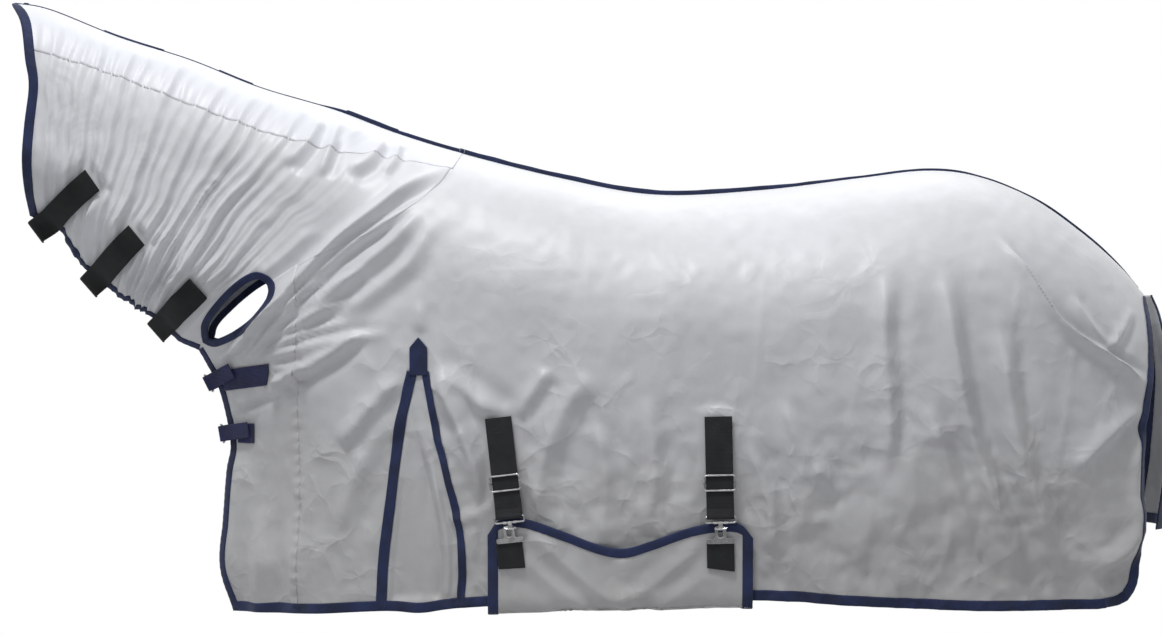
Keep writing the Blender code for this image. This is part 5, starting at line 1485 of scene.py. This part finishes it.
def block_mesh(name, size, centre, matrix, edge=0.0006):
    bm = bmesh.new()
    bmesh.ops.create_cube(bm, size=1)
    bmesh.ops.scale(bm, vec=size, verts=bm.verts)
    bmesh.ops.bevel(bm, geom=bm.edges, offset=edge, segments=3, affect="EDGES", profile=0.5)
    bmesh.ops.translate(bm, vec=centre, verts=bm.verts)
    bmesh.ops.transform(bm, matrix=matrix, verts=bm.verts)
    mesh = bpy.data.meshes.new(name)
    bm.to_mesh(mesh)
    bm.free()
    return mesh


def make_t_hook(tag):
    frame_at = strap_matrix(tag) @ Matrix.Translation((0, 0, -STRAP_LENGTH))
    body = f"t_hook_{tag}"
    ring = [p - Vector((0, 0, HOOK_HEIGHT / 2))
            for p in rounded_loop(STRAP_WIDTH + 2 * FIT + WIRE, HOOK_HEIGHT, HOOK_CORNER)]
    wire(f"{body}_loop", in_frame(frame_at, ring), WIRE, body, [body], closed=True)
    neck_z = -HOOK_HEIGHT - HOOK_NECK / 2
    stem = block_mesh(f"{body}_stem", (HOOK_STEM, WIRE * 0.8, HOOK_NECK + 0.002), (0, 0, neck_z),
                      frame_at)
    add_piece(f"{body}_stem", stem, body, (), METAL, "metal")
    cheeks = [(sx * 0.009, 0, -HOOK_HEIGHT) for sx in (-1, 0, 1)]
    for k, (x, _, z) in enumerate(cheeks):
        grip = [(x - 0.0030, 0, z), (x + 0.0030, 0, z)]
        wire(f"{body}_grip_{k}", in_frame(frame_at, grip), WIRE * 1.5, body, ())
    tee = smooth([(-HOOK_BAR / 2, 0, 0.0014), (-HOOK_BAR / 4, 0, 0), (0, 0, -0.0004),
                  (HOOK_BAR / 4, 0, 0), (HOOK_BAR / 2, 0, 0.0014)], 5)
    tee = [(x, y, z - HOOK_HEIGHT - HOOK_NECK) for x, y, z in tee]
    wire(f"{body}_tee", in_frame(frame_at, tee), WIRE, body, ())


def round_corners(points, radius, steps=6):
    """A closed outline with each of its corners rounded."""
    line = []
    for k, point in enumerate(points):
        here = Vector(point)
        before, after = Vector(points[k - 1]) - here, Vector(points[(k + 1) % len(points)]) - here
        reach = min(radius, before.length * 0.45, after.length * 0.45)
        a, b = here + before.normalized() * reach, here + after.normalized() * reach
        for t in np.linspace(0, 1, steps):
            line.append(tuple((1 - t) ** 2 * a + 2 * t * (1 - t) * here + t ** 2 * b))
    return line


def make_lock_plate(tag):
    tee = strap_matrix(tag) @ Vector((0, 0, -STRAP_LENGTH - HOOK_HEIGHT - HOOK_NECK))
    origin, outer = (Vector(on_body(np.array([[tee.x, tee.z]]), -1, lift, folded=False)[0])
                     for lift in (PLATE_LIFT, PLATE_LIFT + 1))
    up = strap_matrix(tag).to_3x3() @ Vector((0, 0, 1))
    frame_at = frame_matrix(origin, up.cross(outer - origin), up)
    half, top, low_z = 0.0095, 0.0055, 0.0055 - 0.024
    bar_top, bar_low, wide = low_z + 0.003, low_z - 0.005, STRAP_WIDTH / 2
    outline = round_corners([(-half, top), (half, top), (half, bar_top), (wide, bar_top),
                             (wide, bar_low), (-wide, bar_low), (-wide, bar_top),
                             (-half, bar_top)], 0.0035)
    slot_half = HOOK_STEM / 2 + 0.0005
    slot = round_corners([(-slot_half, top - 0.004), (slot_half, top - 0.004),
                          (slot_half, top - 0.018), (-slot_half, top - 0.018)], 0.0025)
    node = f"t_lock_plate_{tag}"
    mesh = plate_mesh(f"{node}_fine", outline, slot, 0.002, frame_at)
    add_piece(f"{node}_fine", mesh, "belly_band", [node], METAL, "metal")
    lip = [(x, -0.0012, z) for x, z in ((-slot_half, top - 0.004), (-slot_half, top - 0.018),
                                        (slot_half, top - 0.018), (slot_half, top - 0.004))]
    wire(f"{node}_lip", in_frame(frame_at, smooth(lip, 5)), 0.0012, "belly_band", ())
    make_tab(tag, frame_at)


def make_tab(tag, frame_at):
    """The black tab that holds the plate, sewn to the band through a box of stitches."""
    drop, long, slant = 0.017, 0.052, 0.007 if tag == "rear" else 0.002
    half = STRAP_WIDTH / 2
    grid = []
    for share in np.linspace(0, 1, 60):
        row = []
        for across in EDGES:
            x = (across - 0.5) * 2 * half
            z = -drop + 0.001 - share * (long + slant * (across - 0.5))
            spot = frame_at @ Vector((x, 0, z))
            row.append((spot.x, spot.z))
        grid.append(row)
    xz = np.array(grid)
    lift = BAND_LIFT + 0.0042
    points = on_body(xz.reshape(-1, 2), -1, lift, folded=False).reshape(*xz.shape[:2], 3)
    node = f"belly_tab_{tag}"
    face, normals = slab(f"{node}_fine", points, 0.0025, "belly_band", [node], BLACK_WEB,
                               "black_webbing", rib=RIB)
    rows = box_rows(face, normals, 0.10, 0.10, 0.92, crossed=True)
    stitches(f"{node}_stitches", rows, "belly_band", BLACK_THREAD, "black_webbing")


for tag in ("front", "rear"):
    make_belly_strap(tag)
    make_lock_plate(tag)


# Neck straps

def make_neck_strap(number):
    root, length, turn = NECK_STRAPS[number]
    heading = SQUARE + math.radians(turn)
    root, run = np.array(root), np.array([math.cos(heading), math.sin(heading)])
    along = np.array([run[1], -run[0]]) * NECK_STRAP_WIDTH
    sewn = root - run * NECK_STRAP_NOSE
    node = f"neck_strap_{number}"
    spots = np.linspace(0.004, length, 50)
    rows = []
    for share in EDGES:
        across = (share - 0.5) * along
        on_neck = on_body(root + run * spots[:, None] + across, -1, 0.0080, folded=False)
        nose = sewn + across
        near = nose + run * 0.006
        corner = [(nose[0], 0.006, nose[1]), (nose[0], -0.004, nose[1]),
                  (near[0], -0.0125, near[1])]
        spacing = 0.0009
        rows.append(evenly(smooth([*corner, *on_neck[6::7]], 8), spacing))
    count = max(len(row) for row in rows)
    rows = [spread(row, np.linspace(0, 1, count)) for row in rows]
    points = np.stack(rows, axis=1)
    face, normals = slab(f"{node}_webbing", points, 0.0024, node, [node], HOOK_TAPE,
                               "black_webbing")
    stitches(f"{node}_stitches", box_rows(face, normals, 0.07, 0.14, 0.985), node, BLACK_THREAD,
             "black_webbing")
    inner, outer = (root + run * length * share for share in (0.45, 0.97))
    steps = np.linspace(0, 1, 40)[:, None]
    middle = inner + (outer - inner) * steps
    points = np.stack([on_body(middle + (share - 0.5) * along * 0.98, -1, 0.0034, folded=False)
                       for share in EDGES], axis=1)
    patch = f"neck_loop_patch_{number}"
    face, normals = slab(f"{patch}_fine", points, 0.0016, "sheet", [patch], HOOK_TAPE,
                               "black_webbing")
    stitches(f"{patch}_stitches", box_rows(face, normals, 0.06, 0.03, 0.97), "sheet", BLACK_THREAD,
             "black_webbing")


for number in NECK_STRAPS:
    make_neck_strap(number)


# Chest closures

CHEST_WEB_THICK, BUCKLE_SPAN, BUCKLE_LIFT, BUCKLE_CORNER = 0.002, 0.024, 0.014, 0.003
TONGUE_WIRE, TONGUE_PAST, PATCH_BEHIND = 0.0026, 0.003, 0.020
CHEST_STRAPS = {"upper": breast(0, 0.121)[1], "lower": breast(0, 0.333)[1]}  # buckle heights
CHEST_PATCHES = {"upper": (-0.331, 0.038, 0.012), "lower": (-0.362, 0.036, 0.0)}
BILLET_LIFT, BILLET_EASE, BILLET_TURN, BILLET_CROSS = 0.0058, 0.0006, 0.006, 0.004
BILLET_SEWN = (0.085, 0.060, 0.035, 0.014)
BILLET_FREE = ((0.004, 0.006), (0.022, 0.003), (0.045, 0.003))


def chest_frame(height):
    down = CHEST_UP[::-1]
    point, above = ([float(np.interp(-z, -down[:, 1], down[:, k])) for k in range(2)]
                    for z in (height, height + CHEST_WEB / 2))
    up = Vector((above[0] - point[0], 0, above[1] - point[1])).normalized()
    left = Vector((0, 1, 0))
    rotation = Matrix((left.cross(up), left, up)).transposed().to_4x4()
    return Matrix.Translation((point[0], 0, point[1])) @ rotation


def make_chest_patch(tag, edge_x, height):
    back_x, width, rise = CHEST_PATCHES[tag]
    near, half = edge_x + PATCH_BEHIND, width / 2
    steps = np.linspace(0, 1, 90)
    point = 0.35 if tag == "upper" else 0.15
    rows = []
    for share in EDGES:
        end_cut = 1 - point * 0.14 * max(0.0, share - 0.45) / 0.55
        x = near + (back_x - near) * steps * end_cut
        z = height + rise * (x - near) / (back_x - near) + (0.5 - share) * 2 * half
        rows.append(on_body(np.stack([x, z], axis=-1), -1, 0.0030, folded=False))
    points = np.stack(rows, axis=1)
    node = f"chest_patch_{tag}"
    face, normals = slab(f"{node}_fine", points, CHEST_WEB_THICK, "sheet", [node], NAVY_WEB,
                               "navy_webbing", rib=RIB)
    rows = box_rows(face, normals, 0.10, 0.50, 0.95, crossed=tag == "upper")
    stitches(f"{node}_stitches", rows, "sheet", NAVY_THREAD, "navy_webbing")


def make_buckle(tag, frame_at):
    centre = frame_at @ Matrix.Translation((-BUCKLE_LIFT, 0, 0))
    turned = centre @ Matrix.Rotation(-math.pi / 2, 4, "Z")
    ring = rounded_loop(BUCKLE_SPAN - WIRE, CHEST_WEB + 2 * FIT + WIRE, BUCKLE_CORNER)
    node = f"chest_buckle_{tag}"
    wire(f"{node}_ring", in_frame(turned, ring), WIRE, "sheet", [node], closed=True)
    bars_apart = BUCKLE_SPAN - WIRE
    pivot = centre @ Matrix.Translation((0, -bars_apart / 2, 0))
    eye = WIRE / 2 + FIT / 2 + TONGUE_WIRE / 2
    around = [(eye * math.cos(a), eye * math.sin(a), 0)
              for a in np.linspace(math.radians(-60), math.radians(-190), 16)]
    tip_x = -(WIRE / 2 + FIT + TONGUE_WIRE / 2)
    tip = [(tip_x - 0.0006, bars_apart * 0.5, 0), (tip_x, bars_apart + TONGUE_PAST, 0)]
    body = f"chest_tongue_{tag}"
    wire(f"{body}_wire", in_frame(pivot, [*around, *tip]), TONGUE_WIRE, body, [body])


def make_billet(tag, frame_at):
    bar = (BUCKLE_SPAN - WIRE) / 2
    clear = WIRE / 2 + FIT + CHEST_WEB_THICK / 2 + BILLET_EASE / 2
    behind, over = -BUCKLE_LIFT + clear, -BUCKLE_LIFT - clear
    back_to_frame = frame_at.inverted()

    def beside(reach, side, lift):
        spot = frame_at @ Vector((reach, 0, 0))
        point = on_body(np.array([[spot.x, spot.z]]), side, lift, folded=False)[0]
        return tuple((back_to_frame @ Vector(point))[:2])

    sewn = [beside(reach, 1, BILLET_LIFT) for reach in BILLET_SEWN]
    free = [beside(reach, -1, BILLET_LIFT + more) for reach, more in BILLET_FREE]
    path = [*sewn, (behind + BILLET_EASE, bar + BILLET_TURN), (behind, bar),
            (behind - BILLET_EASE, bar - BILLET_CROSS), (over + BILLET_EASE, BILLET_CROSS - bar),
            (over, -bar), (over + BILLET_EASE, -bar - BILLET_CROSS), *free]
    node = f"chest_billet_{tag}"
    # the frame's X and Y become the path's plane, its Z the width
    turn = Matrix(((0, 1, 0, 0), (0, 0, 1, 0), (1, 0, 0, 0), (0, 0, 0, 1)))
    path_slab(f"{node}_webbing", frame_at @ turn, smooth(path, 6), CHEST_WEB, CHEST_WEB_THICK,
              "sheet", [node], NAVY_WEB, "navy_webbing")


for tag, height in CHEST_STRAPS.items():
    chest_at = chest_frame(height)
    make_chest_patch(tag, chest_at.translation.x, height)
    make_buckle(tag, chest_at)
    make_billet(tag, chest_at)


# Tail flap

TAIL_DROP, TAIL_HALF, TAIL_CAMBER = 0.420, 0.115, 2.6
TAIL_CENTRE = smooth([(0.016, 0.006), (0.034, 0.050), (0.058, 0.150), (0.058, 0.280),
                      (0.040, TAIL_DROP)])
TAIL_HALVES = smooth([(0, 0.050), (0.25, 0.085), (0.6, 0.110), (1.0, 0.115)])


def tail_spot(across, down, folded=True):
    middle = spread(TAIL_CENTRE, down)
    half = np.interp(down, TAIL_HALVES[:, 0], TAIL_HALVES[:, 1])
    y = (across - 0.5) * 2 * half
    x = TAIL_HEAD.x + middle[:, 0] - TAIL_CAMBER * y ** 2
    if folded:
        hang = ease(down, 0.05, 0.5) * ease(np.abs(across - 0.5), 0.5, 0.42)
        x = x + hang * (0.0040 * noise(y, middle[:, 1] * 0.2, 0.030, 4.0) + 0.0012 * noise(
            y, middle[:, 1], 0.03, 2.0))
    return np.stack([x, y, TAIL_HEAD.z - middle[:, 1]], axis=-1)


def make_tail():
    rows, columns = round(0.42 / CELL), round(0.22 / CELL)
    u, v = np.meshgrid(np.linspace(0.012, 0.988, columns), np.linspace(0, 0.992, rows))
    points = tail_spot(u.ravel(), v.ravel()).reshape(rows, columns, 3)
    mesh = grid_mesh("tail_flap_cloth", points)
    SHEETS["tail_flap"] = add_piece("tail_flap_cloth", mesh, "tail_flap", ["tail_flap"],
                                    CLOTH_FINISH, "cloth", CLOTH)
    down = np.linspace(0, 1, 120)
    across = np.linspace(0, 1, 66)[1:-1]
    outer = np.array([(0.0, d) for d in down] + [(a, 1.0) for a in across]
                     + [(1.0, d) for d in down[::-1]])

    def base(distance):
        edge, foot = distance / (2 * TAIL_HALF), distance / TAIL_DROP
        a = np.clip(outer[:, 0], edge, 1 - edge)
        d = np.minimum(outer[:, 1], 1 - foot)
        points = tail_spot(a, d)
        step = 0.002
        side_run = tail_spot(np.minimum(a + step, 1), d) - tail_spot(np.maximum(a - step, 0), d)
        down_run = tail_spot(a, np.minimum(d + step, 1)) - tail_spot(a, np.maximum(d - step, 0))
        normals = unit(np.cross(down_run, side_run))
        return points, normals * np.sign(normals[:, :1])

    seam = folded_tape("tail_flap_tape", base, BINDING, lengths(tail_spot(*outer.T)), "tail_flap",
                             ["tail_flap_binding"])
    stitches("tail_flap_stitches", [stitch_row(*seam)], "tail_flap", NAVY_THREAD, "navy_tape")


make_tail()


# Sheets: each one's flat size and area as cut, and the tapes sewn along it

FLAT = {  # width and length, area, how it is held, tapes
    "crest_panel": ((0.86, 0.15), 0.123, "hung", ["crest_tape"]),
    "neck_panel": ((0.80, 0.52), 0.272, "gathered",
                   ["poll_binding_{}_tape", "throat_binding_{}_tape"]),
    "chest_panel": ((0.24, 0.60), 0.112, "gathered", ["front_binding_{}_tape"]),
    "body_panel": ((1.50, 1.02), 1.300, "hung", ["hem_binding_{}_tape"]),
    "gusset": ((0.20, 0.46), 0.043, "folded",
               ["gusset_tape_fore_{}_fine", "gusset_tape_hind_{}_fine"]),
    "belly_band": ((0.455, 0.66), 0.284, "hung", ["belly_band_top_tape"]),
    "tail_flap": ((0.24, 0.44), 0.083, "hung", ["tail_flap_tape"]),
}
for key, made in SHEETS.items():
    kind, tag = key[:-2] if key[-2:] in ("_l", "_r") else key, key[-1]
    size, area, held, near = FLAT[kind]
    [bpy.data.objects[name.format(tag)] for name in near]
